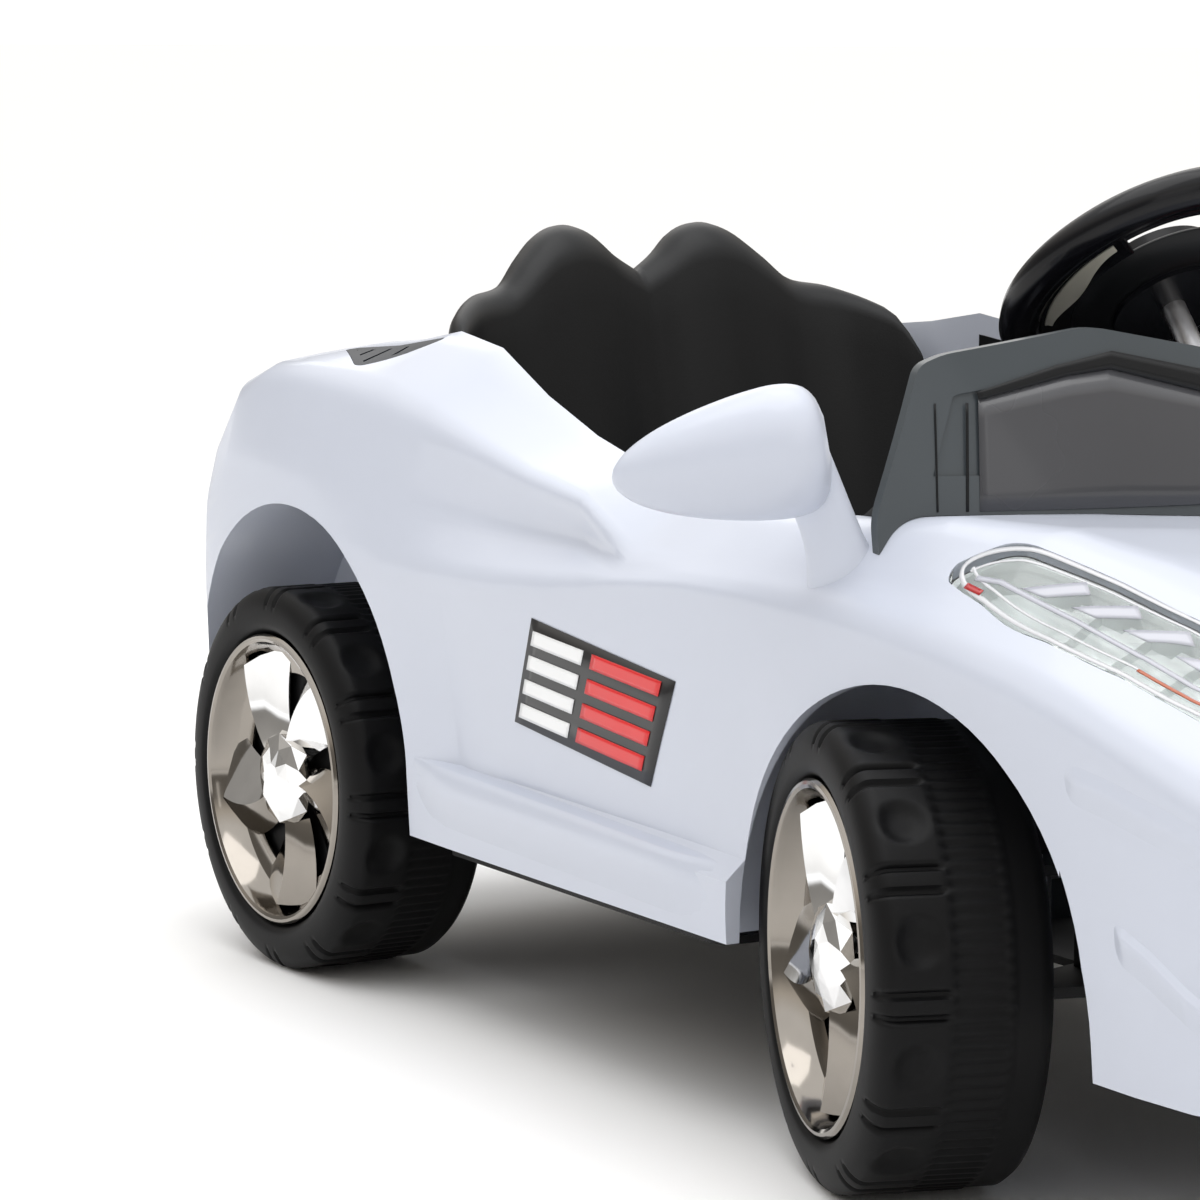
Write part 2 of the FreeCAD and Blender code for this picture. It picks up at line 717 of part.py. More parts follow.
# Wheels
def wheel_profile(rows):
    """Closed ring section from pairs of distance out along the axle and radius."""
    corners = [Vector(radius, 0, offset) for offset, radius in rows]
    return Part.Face(Part.makePolygon(corners + corners[:1]))


def wheel():
    """Open-backed moulded wheel with block tread and a ribbed web, lying with its outer face up."""
    edge = wheel_half_width
    inner = wheel_radius - tread_wall
    lip = rim_radius + web_wall
    outside = [(web_face, axle_radius + running_gap), (web_face, rim_radius),
               (edge - lip_step, rim_radius + seat_gap), (edge, lip + 2 * lip_step),
               (edge - lip_step, wheel_radius - 2 * lip_step), (edge - 3 * lip_step, wheel_radius),
               (3 * lip_step - edge, wheel_radius), (lip_step - edge, inner + web_wall / 2),
               (lip_step - edge, inner)]
    inside = [(edge - 3 * lip_step, inner), (edge - 2 * lip_step, lip), (web_face - web_wall, lip),
              (web_face - web_wall, hub_radius), (-hub_inner_end, hub_radius),
              (-hub_inner_end, axle_radius + running_gap)]
    body = wheel_profile(outside + inside).revolve(Vector(0, 0, 0), Vector(0, 0, 1), 360)
    cutters = []
    pitch = 360 / block_count
    for i in range(block_count):
        groove = box((wheel_radius - block_groove_depth, -block_groove_width / 2, tread_band_edge),
                     (wheel_radius + overrun, block_groove_width / 2, edge - lip_step))
        cutters.append(turned(groove, Vector(0, 0, 0), Vector(0, 0, 1), i * pitch))
    body = body.cut(Part.makeCompound(cutters))
    ribs = []
    for i in range(back_rib_count):
        rib = box((hub_radius - web_wall / 2, -back_rib_wall / 2, web_face - web_wall - back_rib_depth),
                  (lip + web_wall / 2, back_rib_wall / 2, web_face - web_wall / 2))
        ribs.append(turned(rib, Vector(0, 0, 0), Vector(0, 0, 1), i * 360 / back_rib_count))
    return body.fuse(ribs)


def hubcap():
    """Bright cap with a rolled lip, a dished face with windows, swept blades and a domed middle."""
    lip_face = wheel_half_width
    back = web_face + seat_gap
    rim = rim_radius - seat_gap
    rows = [(back, cap_hub_radius), (back, rim - cap_lip), (lip_face - cap_lip, rim),
            (lip_face - cap_wall / 2, rim), (lip_face, rim - cap_wall / 2),
            (lip_face - cap_lip, rim - cap_lip), (back + cap_wall, rim - cap_lip - cap_wall),
            (back + cap_wall, cap_hub_radius)]
    dish = wheel_profile(rows).revolve(Vector(0, 0, 0), Vector(0, 0, 1), 360)
    dome_rows = [(back, cap_hub_radius - cap_wall), (dome_face - cap_wall, cap_wall),
                 (dome_face - cap_wall, 0), (dome_face, 0), (dome_face, 2 * cap_wall),
                 (dome_face - 2 * cap_wall, cap_hub_radius - 2 * cap_wall),
                 (back, cap_hub_radius + cap_wall)]
    dome = wheel_profile(dome_rows).revolve(Vector(0, 0, 0), Vector(0, 0, 1), 360)
    windows = []
    blades = []
    for i in range(blade_count):
        angle = i * 360 / blade_count
        length = rim - cap_lip - cap_hub_radius
        corners = [(cap_hub_radius, -length * blade_root_share),
                   (cap_hub_radius, length * blade_root_share), (rim - cap_lip, length * blade_tip_share),
                   (rim - cap_lip, -length * blade_lean_share)]
        outline = Part.makePolygon([Vector(x, y, 0) for x, y in corners + corners[:1]])
        blade = Part.Face(outline).extrude(Vector(0, 0, cap_wall))
        blade.rotate(Vector(0, 0, 0), Vector(1, 0, 0), blade_pitch)
        blade.translate(Vector(0, 0, back + length * blade_tip_share / 2))
        blades.append(turned(blade, Vector(0, 0, 0), Vector(0, 0, 1), angle))
        slit = box((cap_hub_radius + 2 * cap_wall, -length * blade_root_share / 2, back - overrun),
                   (rim - cap_lip - 3 * cap_wall, length * blade_root_share / 2, back + cap_wall + overrun))
        windows.append(turned(slit, Vector(0, 0, 0), Vector(0, 0, 1), angle + 180 / blade_count))
    envelope = Part.makeCylinder(rim - cap_lip + cap_wall, lip_face - back, Vector(0, 0, back))
    blades = [blade.common(envelope) for blade in blades]
    return dish.cut(Part.makeCompound(windows)).fuse(blades).fuse(dome)


def stand_wheel(shape, x, side):
    """Stand a shape that lies with its outer face up at one axle end, facing out to that side."""
    copy = shape.copy()
    copy.rotate(Vector(0, 0, 0), Vector(1, 0, 0), 90)
    if side > 0:
        copy = mirrored(copy)
    copy.translate(Vector(x, side * half_track, wheel_radius))
    return copy


def kingpin(side):
    return Vector(front_axle_x, side * kingpin_y, 0)


def steered(shape, side):
    """Turn a piece of the front corner to the angle that the wheels stand at."""
    return turned(shape, kingpin(side), Vector(0, 0, 1), steering_at_rest)


def wheels():
    shapes = {"wheel": wheel(), "hubcap": hubcap()}
    nut = sleeve(Vector(0, 0, web_face + seat_gap), Vector(0, 0, web_face + seat_gap + nut_length),
                 nut_radius, axle_radius)
    for side, word in ((-1, "right"), (1, "left")):
        for name, shape in shapes.items():
            pieces["rear_" + name + "_" + word] = stand_wheel(shape, rear_axle_x, side)
            pieces["front_" + name + "_" + word] = steered(stand_wheel(shape, front_axle_x, side), side)
        pieces["front_axle_nut_" + word] = steered(stand_wheel(nut, front_axle_x, side), side)
    pieces["rear_axle_nuts"] = Part.makeCompound([stand_wheel(nut, rear_axle_x, side) for side in (-1, 1)])
    end = half_track + web_face + nut_length
    pieces["rear_axle"] = rod(Vector(rear_axle_x, -end, wheel_radius),
                              Vector(rear_axle_x, end, wheel_radius), axle_radius)


# Steering
def knuckle(side):
    """Stub axle on an upright barrel, with a rearward arm and its pin."""
    pivot = kingpin(side)
    low = carrier_low + carrier_wall + seat_gap
    high = carrier_high - carrier_wall - seat_gap
    barrel = rod(pivot + Vector(0, 0, low), pivot + Vector(0, 0, high), barrel_radius)
    centre = pivot + Vector(0, 0, wheel_radius)
    end = half_track + web_face + nut_length - kingpin_y
    stub = rod(centre, centre + Vector(0, side * end, 0), axle_radius)
    shoulder = rod(centre, centre + Vector(0, side * (half_track - hub_inner_end - seat_gap - kingpin_y),
                                           0), stub_shoulder)
    tip = pivot - Vector(arm_length, 0, 0)
    circles = ((pivot.x, pivot.y, barrel_radius), (tip.x, tip.y, pin_head_radius))
    arm = upright(link_outline(circles), arm_top - arm_wall, arm_top)
    pin = rod(tip + Vector(0, 0, arm_top - arm_wall), tip + Vector(0, 0, tie_high + seat_gap), pin_radius)
    head = rod(tip + Vector(0, 0, tie_high + seat_gap), tip + Vector(0, 0, tie_high + seat_gap + pin_head),
               pin_head_radius)
    solid = barrel.fuse([stub, shoulder, arm, pin, head])
    bore = rod(pivot - Vector(0, 0, overrun), pivot + Vector(0, 0, body_height),
               kingpin_radius + running_gap)
    return solid.cut(bore)


def carrier(side):
    """C-shaped bracket that holds the kingpin above and below the knuckle."""
    start = front_well_face - wall - tray_fit
    pivot = kingpin(side)
    circles = [(pivot.x, pivot.y, barrel_radius)]
    for reach in (-side * carrier_half_length, side * carrier_half_length):
        circles.append((pivot.x + reach, side * (start + carrier_wall), carrier_wall))
    outline = link_outline(circles)
    plates = upright(outline, carrier_low, carrier_low + carrier_wall)
    plates = plates.fuse(upright(outline, carrier_high - carrier_wall, carrier_high))
    low_y, high_y = sorted((side * start, side * (start + 2 * carrier_wall)))
    web = box((pivot.x - carrier_half_length, low_y, carrier_low),
              (pivot.x + carrier_half_length, high_y, carrier_high))
    bore = rod(pivot - Vector(0, 0, overrun), pivot + Vector(0, 0, body_height), kingpin_radius)
    return plates.fuse(web).cut(bore)


def kingpin_pin(side):
    pivot = kingpin(side)
    top = carrier_high + pin_head
    shaft = rod(pivot + Vector(0, 0, carrier_low), pivot + Vector(0, 0, carrier_high), kingpin_radius)
    return shaft.fuse(rod(pivot + Vector(0, 0, carrier_high), pivot + Vector(0, 0, top), pin_head_radius))


def tie_rod():
    """Flat bar between the knuckle arms, with a tongue forward to the slot for the crank pin."""
    x = front_axle_x - arm_length
    bar = upright(link_outline(((x, -kingpin_y, tie_half_width), (x, kingpin_y, tie_half_width))), tie_low,
                  tie_high)
    level = (tie_low + tie_high) / 2
    slot_x = column_at(level).x - arm_length / math.cos(tilt)
    slot_half = crank_pin_radius / math.cos(tilt) + tie_wall / 2 * math.tan(tilt) + slot_play
    circles = ((x, 0, 2 * tie_half_width), (slot_x + slot_half, 0, tie_half_width))
    bar = bar.fuse(upright(link_outline(circles), tie_low, tie_high))
    slot = box((slot_x - slot_half, -crank_pin_radius - running_gap, tie_low - overrun),
               (slot_x + slot_half, crank_pin_radius + running_gap, tie_high + overrun))
    holes = [rod(Vector(x, side * kingpin_y, 0), Vector(x, side * kingpin_y, body_height),
                 pin_radius + running_gap) for side in (-1, 1)]
    bar = bar.cut(slot).cut(holes[0]).cut(holes[1])
    turn = math.radians(steering_at_rest)
    bar.translate(Vector(arm_length * (1 - math.cos(turn)), -arm_length * math.sin(turn), 0))
    return bar


def at_steering_angle(shape):
    return turned(shape, steering_centre, column_down * -1, steering_at_rest)


def column():
    """Steel rod from the steering wheel to a crank whose pin runs in the tie rod's slot."""
    end = column_at(column_end_z)
    tip = end + crank_out * arm_length
    pin_length = (tip.z - crank_pin_end) / math.cos(tilt)
    solid = rod(steering_centre + column_down * (boss_length / 8), end, column_radius)
    solid = solid.fuse([Part.makeSphere(column_radius, end), rod(end, tip, column_radius),
                        Part.makeSphere(column_radius, tip),
                        rod(tip, tip + column_down * pin_length, crank_pin_radius)])
    return at_steering_angle(solid)


def column_post():
    """Braced post on the floor with the column's lower bearing at its head."""
    head = column_at(column_end_z + post_rise)
    rows = [(head.x + x * (post_foot_x - head.x), floor_top + z * (head.z - floor_top))
            for x, z in post_shares]
    leg = across(rows, [0] * len(rows), post_half_width)
    boss = rod(head - column_down * (post_length / 2), head + column_down * (post_length / 2), post_radius)
    bore = rod(head - column_down * overrun, head + column_down * overrun, column_radius + running_gap)
    return leg.fuse(boss).cut(bore)


def column_bush():
    """Flanged bush where the column passes the dashboard."""
    middle = column_at(bush_z)
    shape = rod(middle - column_down * (bush_length / 2), middle + column_down * (bush_length / 2),
                bush_radius)
    top = middle - column_down * (bush_length / 2)
    shape = shape.fuse(rod(top, top + column_down * bush_flange_wall, bush_flange))
    return shape.cut(rod(middle - column_down * overrun, middle + column_down * overrun,
                         column_radius + running_gap))


def in_wheel_plane(shape):
    """Place a shape drawn flat round the column's axis into the tilted plane of the steering wheel."""
    shape.rotate(Vector(0, 0, 0), Vector(0, 1, 0), -steering_tilt)
    shape.translate(steering_centre)
    return at_steering_angle(shape)


def steering_wheel():
    """Thick grip ring, three spokes and a boss that seats on the column."""
    turns = [2 * math.pi * (i + 1 / 2) / grip_flats for i in range(grip_flats)]
    rows = [(steering_rim_radius * math.sin(turn),
             steering_radius - steering_rim_radius * (1 - math.cos(turn))) for turn in turns]
    grip = wheel_profile(rows).revolve(Vector(0, 0, 0), Vector(0, 0, 1), 360)
    boss = Part.makeCylinder(boss_radius, boss_length, Vector(0, 0, -boss_length * boss_back_share))
    spokes = []
    for angle in spoke_angles:
        corners = [(0, -boss_radius * spoke_root_share), (steering_radius - steering_rim_radius,
                                                          -spoke_half_width),
                   (steering_radius - steering_rim_radius, spoke_half_width),
                   (0, boss_radius * spoke_root_share)]
        face = Part.Face(Part.makePolygon([Vector(x, y, -spoke_wall / 2)
                                           for x, y in corners + corners[:1]]))
        spokes.append(turned(face.extrude(Vector(0, 0, spoke_wall)), Vector(0, 0, 0), Vector(0, 0, 1),
                             angle))
    solid = boss.fuse(spokes).fuse(grip)
    top = boss_length * (1 - boss_back_share)
    solid = solid.cut(Part.makeCylinder(horn_radius + seat_gap, overrun,
                                        Vector(0, 0, top - horn_length + horn_travel)))
    solid = solid.cut(Part.makeCylinder(column_radius, boss_length,
                                        Vector(0, 0, -boss_length / 8 - boss_length)))
    return in_wheel_plane(solid)


def horn_button():
    """Domed push button in the middle of the steering wheel."""
    top = boss_length * (1 - boss_back_share)
    base = top - horn_length + 2 * horn_travel
    rows = [(base, 0), (base, horn_radius), (top + horn_travel / 2, horn_radius),
            (top + horn_travel, horn_radius - horn_travel), (top + horn_travel, 0)]
    return in_wheel_plane(wheel_profile(rows).revolve(Vector(0, 0, 0), Vector(0, 0, 1), 360))


def spoke_blades():
    """Bright inlay plates on both faces of the two side spokes."""
    inner = boss_radius + blade_wall
    outer_end = steering_radius - 2 * steering_rim_radius - blade_wall
    plates = []
    for angle in spoke_angles[:2]:
        for face in (spoke_wall / 2, -spoke_wall / 2 - blade_wall):
            corners = [(inner, -spoke_half_width * spoke_root_share),
                       (outer_end, -spoke_half_width * blade_tip_width_share),
                       (outer_end, spoke_half_width * blade_tip_width_share),
                       (inner, spoke_half_width * blade_root_width_share)]
            sheet = Part.Face(Part.makePolygon([Vector(x, y, face) for x, y in corners + corners[:1]]))
            plates.append(turned(sheet.extrude(Vector(0, 0, blade_wall)), Vector(0, 0, 0), Vector(0, 0, 1),
                                 angle))
    return in_wheel_plane(Part.makeCompound(plates))


# Windscreen
def screen_band(front, back):
    """Curved slab between two depths behind the windscreen's front face, swept back towards its top."""
    wires = []
    for z, x, sag in ((screen_low, screen_foot_x, screen_foot_sag),
                      (screen_high, screen_top_x, screen_top_sag)):
        ends = [Vector(x - sag - depth, side * screen_half_width, z) for depth in (front, back)
                for side in (-1, 1)]
        edges = [Part.Arc(ends[0], Vector(x - front, 0, z), ends[1]).toShape(),
                 Part.LineSegment(ends[1], ends[3]).toShape(),
                 Part.Arc(ends[3], Vector(x - back, 0, z), ends[2]).toShape(),
                 Part.LineSegment(ends[2], ends[0]).toShape()]
        wires.append(Part.Wire(edges))
    return Part.makeLoft(wires, True, True)


def screen_outline(inset):
    """Prism along X over the double-gabled outline of the windscreen."""
    right = [(y * screen_half_width, z * screen_high) for y, z in screen_shares]
    corners = [Vector(0, -y, z) for y, z in right[::-1]] + [Vector(0, y, z) for y, z in right[1:]]
    corners = inset_corners(corners, inset, Vector(1, 0, 0))
    wire = rounded_wire(corners, [screen_round] * len(corners))
    return Part.Face(wire).extrude(Vector(overall_length / 2, 0, 0))


def windscreen():
    """Dark frame with a recessed panel in its front face."""
    sunk = screen_band(-overrun, screen_panel_depth).common(screen_outline(screen_panel_inset))
    sunk = sunk.cut(raised(screen_panel_inset))
    return screen_band(0, screen_wall).common(screen_outline(0)).cut(raised(seat_gap)).cut(sunk)


def raised(height):
    """The body's outer form moved up."""
    copy = outer.copy()
    copy.translate(Vector(0, 0, height))
    return copy


# Mirrors
def oval(half_length, half_width):
    """Closed ring of short straight sides in plan, round the origin."""
    turns = [2 * math.pi * i / mirror_flats for i in range(mirror_flats)]
    corners = [Vector(half_length * math.cos(turn), half_width * math.sin(turn), 0) for turn in turns]
    return Part.makePolygon(corners + corners[:1])


def mirror_head(scale):
    """Wing-shaped head lofted through ovals from its root to its tip, along X, with its back towards +Y."""
    length = (Vector(*mirror_tip) - Vector(*mirror_root)).Length
    wires = []
    for share, size in mirror_shares:
        rim = oval(mirror_half_height * size * scale, mirror_half_depth * size * scale)
        rim.rotate(Vector(0, 0, 0), Vector(0, 1, 0), 90)
        rim.translate(Vector(length * (1 / 2 + (share - 1 / 2) * scale), 0, 0))
        wires.append(rim)
    return Part.makeLoft(wires, True, True)


def mirror_placed(shape):
    """Move a head from its own axes to the car's right side."""
    along = (Vector(*mirror_tip) - Vector(*mirror_root)).normalize()
    back = Vector(along.y, -along.x, 0).normalize()
    up = along.cross(back)
    turn = FreeCAD.Matrix(along.x, back.x, up.x, mirror_root[0], along.y, back.y, up.y, mirror_root[1],
                          along.z, back.z, up.z, mirror_root[2])
    copy = shape.copy()
    copy.Placement = FreeCAD.Placement(turn)
    return copy


def mirrors():
    """Housings on stalks that stand on the fenders, with a flat glass in each back."""
    far = 2 * mirror_half_height
    face = mirror_half_depth * mirror_face_share
    beyond = box((-far, face, -far), (2 * far + overrun, far, far))
    pocket = mirror_head(mirror_glass_share + seat_gap / mirror_half_height)
    pocket = pocket.common(box((-far, face - mirror_glass_wall, -far), (2 * far + overrun, far, far)))
    glass = mirror_head(mirror_glass_share)
    glass = glass.common(box((-far, face - mirror_glass_wall, -far), (2 * far + overrun, face, far)))
    head = mirror_placed(mirror_head(1).cut(beyond).cut(pocket))
    foot = Vector(*mirror_foot)
    neck = Vector(*mirror_root) * (1 - mirror_neck_share) + Vector(*mirror_tip) * mirror_neck_share
    rims = []
    for place, size in ((foot, 1), (neck, mirror_neck_share)):
        rim = oval(mirror_foot_length * size, mirror_foot_width * size)
        rim.translate(place)
        rims.append(rim)
    stalk = Part.makeLoft(rims, True, True).cut(mirror_placed(mirror_head(1)))
    pair("mirror_housing", head.fuse(stalk).cut(raised(seat_gap)))
    pair("mirror_glass", mirror_placed(glass))


# Seat and cockpit
def seat_section(y, top, depth, forward):
    """Upright slice through the seat's back, rounded over its top and leaning backwards."""
    low = seat_cushion_top - seat_wall
    foot_x = forward + seat_back_lean - seat_back_x
    head_x = foot_x - seat_back_lean * (top - low) / (seat_hump_top - low)
    corners = [Vector(foot_x + depth / 2, y, low), Vector(head_x + depth / 2, y, top),
               Vector(head_x - depth / 2, y, top), Vector(foot_x - depth / 2, y, low)]
    reach = depth * seat_top_round_share
    return rounded_wire(corners, [0, reach, reach, 0])


def seat():
    """Bucket with a two-humped back and forward wings, a cushion and a skirt that stands on the floor."""
    sections = []
    for i in range(-seat_slices, seat_slices + 1):
        share = abs(i) / seat_slices
        top, depth, forward = line_at(seat_back_shares, share)
        sections.append(seat_section(i * seat_wing_half_width / seat_slices, top * seat_hump_top,
                                     depth * seat_hump_depth, forward * seat_wing_forward))
    back = Part.makeLoft(sections, True, True)
    rear = -seat_back_x + seat_back_lean
    front = -seat_cushion_front
    side = [(rear, seat_cushion_top), (front, seat_cushion_top + seat_cushion_lift),
            (front + seat_wall, seat_cushion_top), (front + seat_wall, floor_top), (front, floor_top),
            (front, seat_cushion_top - seat_wall / 2), (rear, seat_cushion_top - seat_wall)]
    cushion = across(side, [0, seat_wall, seat_wall / 2, 0, 0, seat_wall / 2, 0], seat_half_width)
    return back.fuse(cushion)


def cockpit_liners():
    """Dark inner side panels that stand inside the cockpit's walls."""
    strip = cockpit(-seat_gap, floor_top).cut(cockpit(-seat_gap - liner_wall, floor_top))
    reach = box((-liner_rear, -body_half_width, floor_top),
                (dash_front - dash_depth - liner_wall, 0, body_height))
    under = outer.copy()
    under.translate(Vector(0, 0, -liner_drop))
    pair("cockpit_liner", strip.common(reach).common(under).cut(wells(wall + seat_gap)))


def dashboard():
    """Hollow dashboard across the cockpit, with openings for the column, rockers and charge socket."""
    rows = [(dash_front - x * dash_depth, dash_low + z * (dash_high - dash_low)) for x, z in dash_shares]
    rounds = [dash_round] * (len(rows) - 2) + [0, 0]
    inner = [(x + dash_wall, z - dash_wall) for x, z in rows]
    band = across(rows, rounds, body_half_width).cut(across(inner, rounds, dash_half_width))
    band = band.common(cockpit(-seat_gap, floor_top)).cut(wells(wall + seat_gap))
    middle = column_at(bush_z)
    band = band.cut(rod(middle - column_down * overrun, middle + column_down * overrun, bush_radius))
    band = band.cut(rod(middle - column_down * overrun,
                        middle - column_down * (bush_length / 2 - bush_flange_wall), bush_flange))
    for y in switch_places:
        gap = switch_half_width + 2 * seat_gap
        reach = switch_half_length + switch_play
        band = band.cut(box((switch_x - reach, y - gap, dash_high - overrun),
                            (switch_x + reach, y + gap, dash_high + overrun)))
    band = band.cut(rod(Vector(switch_x, socket_y, dash_low),
                        Vector(switch_x, socket_y, dash_high + overrun), socket_outer))
    return band


def rocker(y):
    """Rocker switch with a dished top."""
    rows = [(switch_x - switch_half_length, dash_high - dash_wall),
            (switch_x + switch_half_length, dash_high - dash_wall),
            (switch_x + switch_half_length, dash_high + switch_rise),
            (switch_x, dash_high + switch_rise / 2),
            (switch_x - switch_half_length, dash_high + switch_rise)]
    solid = across(rows, [0] * len(rows), switch_half_width)
    solid.translate(Vector(0, y, 0))
    return solid


def charge_socket():
    """Round socket under the dashboard's top, open upwards."""
    place = Vector(switch_x, socket_y, dash_high)
    body = rod(place - Vector(0, 0, socket_length), place, socket_outer)
    flange = rod(place, place + Vector(0, 0, dash_wall / 2), socket_outer + dash_wall / 2)
    return body.fuse(flange).cut(rod(place - Vector(0, 0, socket_length - dash_wall),
                                     place + Vector(0, 0, overrun), socket_radius))


# Drive at the left rear wheel
def gear_outline(module, teeth, angle, centre):
    """Involute gear outline with straight chords along each flank, one tooth pointing along the angle."""
    pitch = module * teeth / 2
    base = pitch * math.cos(math.radians(pressure_angle))
    root = pitch - module * root_share
    radii = [root, max(base, root), pitch, pitch + module]

    def spread(radius):
        lean = math.acos(min(1, base / max(radius, base)))
        return math.tan(lean) - lean

    corners = []
    for i in range(teeth):
        middle = math.radians(angle) + 2 * math.pi * i / teeth
        flank = []
        for radius in radii:
            half = (math.pi * module / 2 - backlash) / (2 * pitch) + spread(pitch) - spread(radius)
            flank.append((radius, half))
        for radius, half in [(r, -h) for r, h in flank] + flank[::-1]:
            corners.append(Vector(centre[0] + radius * math.cos(middle + half),
                                  centre[1] + radius * math.sin(middle + half), 0))
    distinct = [c for i, c in enumerate(corners) if c.distanceToPoint(corners[i - 1]) > backlash / 4]
    return Part.makePolygon(distinct + distinct[:1])


def standing(outline, low, high):
    """Solid over a side-view outline drawn in X and Z, between two distances to the left."""
    solid = upright(outline, -high, -low)
    solid.rotate(Vector(0, 0, 0), Vector(1, 0, 0), 90)
    return solid


def away(centre, angle, distance):
    return (centre[0] + distance * math.cos(math.radians(angle)),
            centre[1] + distance * math.sin(math.radians(angle)))


def lane(number):
    return gearbox_inner + gearbox_wall + gear_clear / 2 + number * gear_lane


def at_left(centre, y):
    return Vector(centre[0], y, centre[1])


output_centre = (rear_axle_x, wheel_radius)
second_centre = away(output_centre, second_angle, gear_module * (output_teeth + pinion_teeth) / 2)
first_centre = away(second_centre, first_angle, fine_module * (second_teeth + pinion_teeth) / 2)
motor_centre = away(first_centre, motor_angle, fine_module * (first_teeth + pinion_teeth) / 2)
gearbox_outer = lane(2) + gear_width + gear_clear / 2 + gearbox_wall
gearbox_split = (gearbox_inner + gearbox_outer) / 2
facing = 180 + 180 / pinion_teeth


def case_outline(growth):
    """Outline of the gearbox round its four shafts."""
    sizes = ((output_centre, gear_module * (output_teeth / 2 + 1)), (motor_centre, motor_radius),
             (first_centre, fine_module * (first_teeth / 2 + 1)),
             (second_centre, fine_module * (second_teeth / 2 + 1)))
    return link_outline([(x, z, radius + gear_clear + growth) for (x, z), radius in sizes])


def gears():
    """Three meshing steps from the motor's pinion down to the gear on the wheel's hub."""
    bore = rod(at_left(output_centre, 0), at_left(output_centre, body_half_width),
               axle_radius + running_gap)
    output = standing(gear_outline(gear_module, output_teeth, second_angle, output_centre), lane(0),
                      lane(0) + gear_width)
    output = output.fuse(rod(at_left(output_centre, lane(0)),
                             at_left(output_centre, half_track - hub_inner_end), dog_radius))
    pieces["output_gear"] = output.cut(bore)
    steps = (("second_gear", second_centre, gear_module, second_angle, second_teeth, first_angle, 0),
             ("first_gear", first_centre, fine_module, first_angle, first_teeth, motor_angle, 1))
    for name, centre, small_module, small_angle, teeth, angle, number in steps:
        small = standing(gear_outline(small_module, pinion_teeth, small_angle + facing, centre),
                         lane(number), lane(number + 1))
        large = standing(gear_outline(fine_module, teeth, angle, centre), lane(number + 1),
                         lane(number + 1) + gear_width)
        pin = rod(at_left(centre, 0), at_left(centre, body_half_width), shaft_radius + running_gap)
        pieces[name] = small.fuse(large).cut(pin)
    pinion = standing(gear_outline(fine_module, pinion_teeth, motor_angle + facing, motor_centre), lane(2),
                      lane(2) + gear_width)
    shaft = rod(at_left(motor_centre, gearbox_inner - motor_length / 2), at_left(motor_centre, lane(2)),
                motor_shaft_radius)
    pieces["motor_pinion"] = pinion.fuse(shaft)


def gearbox():
    """Two case halves, the pins of the loose gears, and the motor flanged to the inner half."""
    inside = standing(case_outline(0), gearbox_inner + gearbox_wall, gearbox_outer - gearbox_wall)
    pins = [rod(at_left(centre, gearbox_inner), at_left(centre, gearbox_outer), shaft_radius)
            for centre in (second_centre, first_centre)]
    axle = rod(at_left(output_centre, 0), at_left(output_centre, gearbox_split), axle_radius)
    hub = rod(at_left(output_centre, gearbox_split), at_left(output_centre, body_half_width),
              dog_radius + running_gap)
    shaft = rod(at_left(motor_centre, 0), at_left(motor_centre, gearbox_split),
                motor_shaft_radius + running_gap)
    for name, low, high in (("gearbox_case_inner", gearbox_inner, gearbox_split),
                            ("gearbox_case_outer", gearbox_split, gearbox_outer)):
        half = standing(case_outline(gearbox_wall), low, high).cut(inside)
        for hole in pins + [axle, hub, shaft]:
            half = half.cut(hole)
        pieces[name] = half
    pieces["gear_pins"] = Part.makeCompound(pins)
    can = rod(at_left(motor_centre, gearbox_inner - motor_length), at_left(motor_centre, gearbox_inner),
              motor_radius)
    rear = rod(at_left(motor_centre, gearbox_inner - motor_length - gearbox_wall),
               at_left(motor_centre, gearbox_inner - motor_length), motor_radius / 2)
    far_half = rod(at_left(motor_centre, 0),
                   at_left(motor_centre, gearbox_inner - motor_length / 2 - seat_gap), motor_radius)
    pieces["drive_motor"] = can.fuse(rear).cut(shaft.common(can.cut(far_half)))


# Battery, control box and pedal
def battery():
    """Sealed block with two terminals, lying on the floor under the seat."""
    length, width, height = battery_size
    block = box((-battery_rear, -width / 2, floor_top),
                (length - battery_rear, width / 2, floor_top + height))
    block = block.makeChamfer(tray_floor / 2, block.Edges)
    posts = []
    for side in (-1, 1):
        foot = Vector(length / 4 - battery_rear, side * terminal_pitch / 2, floor_top + height)
        posts.append(rod(foot, foot + Vector(0, 0, terminal_radius), terminal_radius))
    return block.fuse(posts)


def control_box():
    """Flat box with cooling fins, beside the battery."""
    length, width, height = control_size
    block = box((-control_rear, -control_y - width, floor_top),
                (length - control_rear, -control_y, floor_top + height))
    pitch = length / control_fin_count
    for i in range(control_fin_count):
        start = -control_rear + (i + 1 / 4) * pitch
        block = block.cut(box((start, -control_y - width - overrun, floor_top + height * 2 / 3),
                              (start + pitch / 2, -control_y + overrun, floor_top + height + overrun)))
    return block


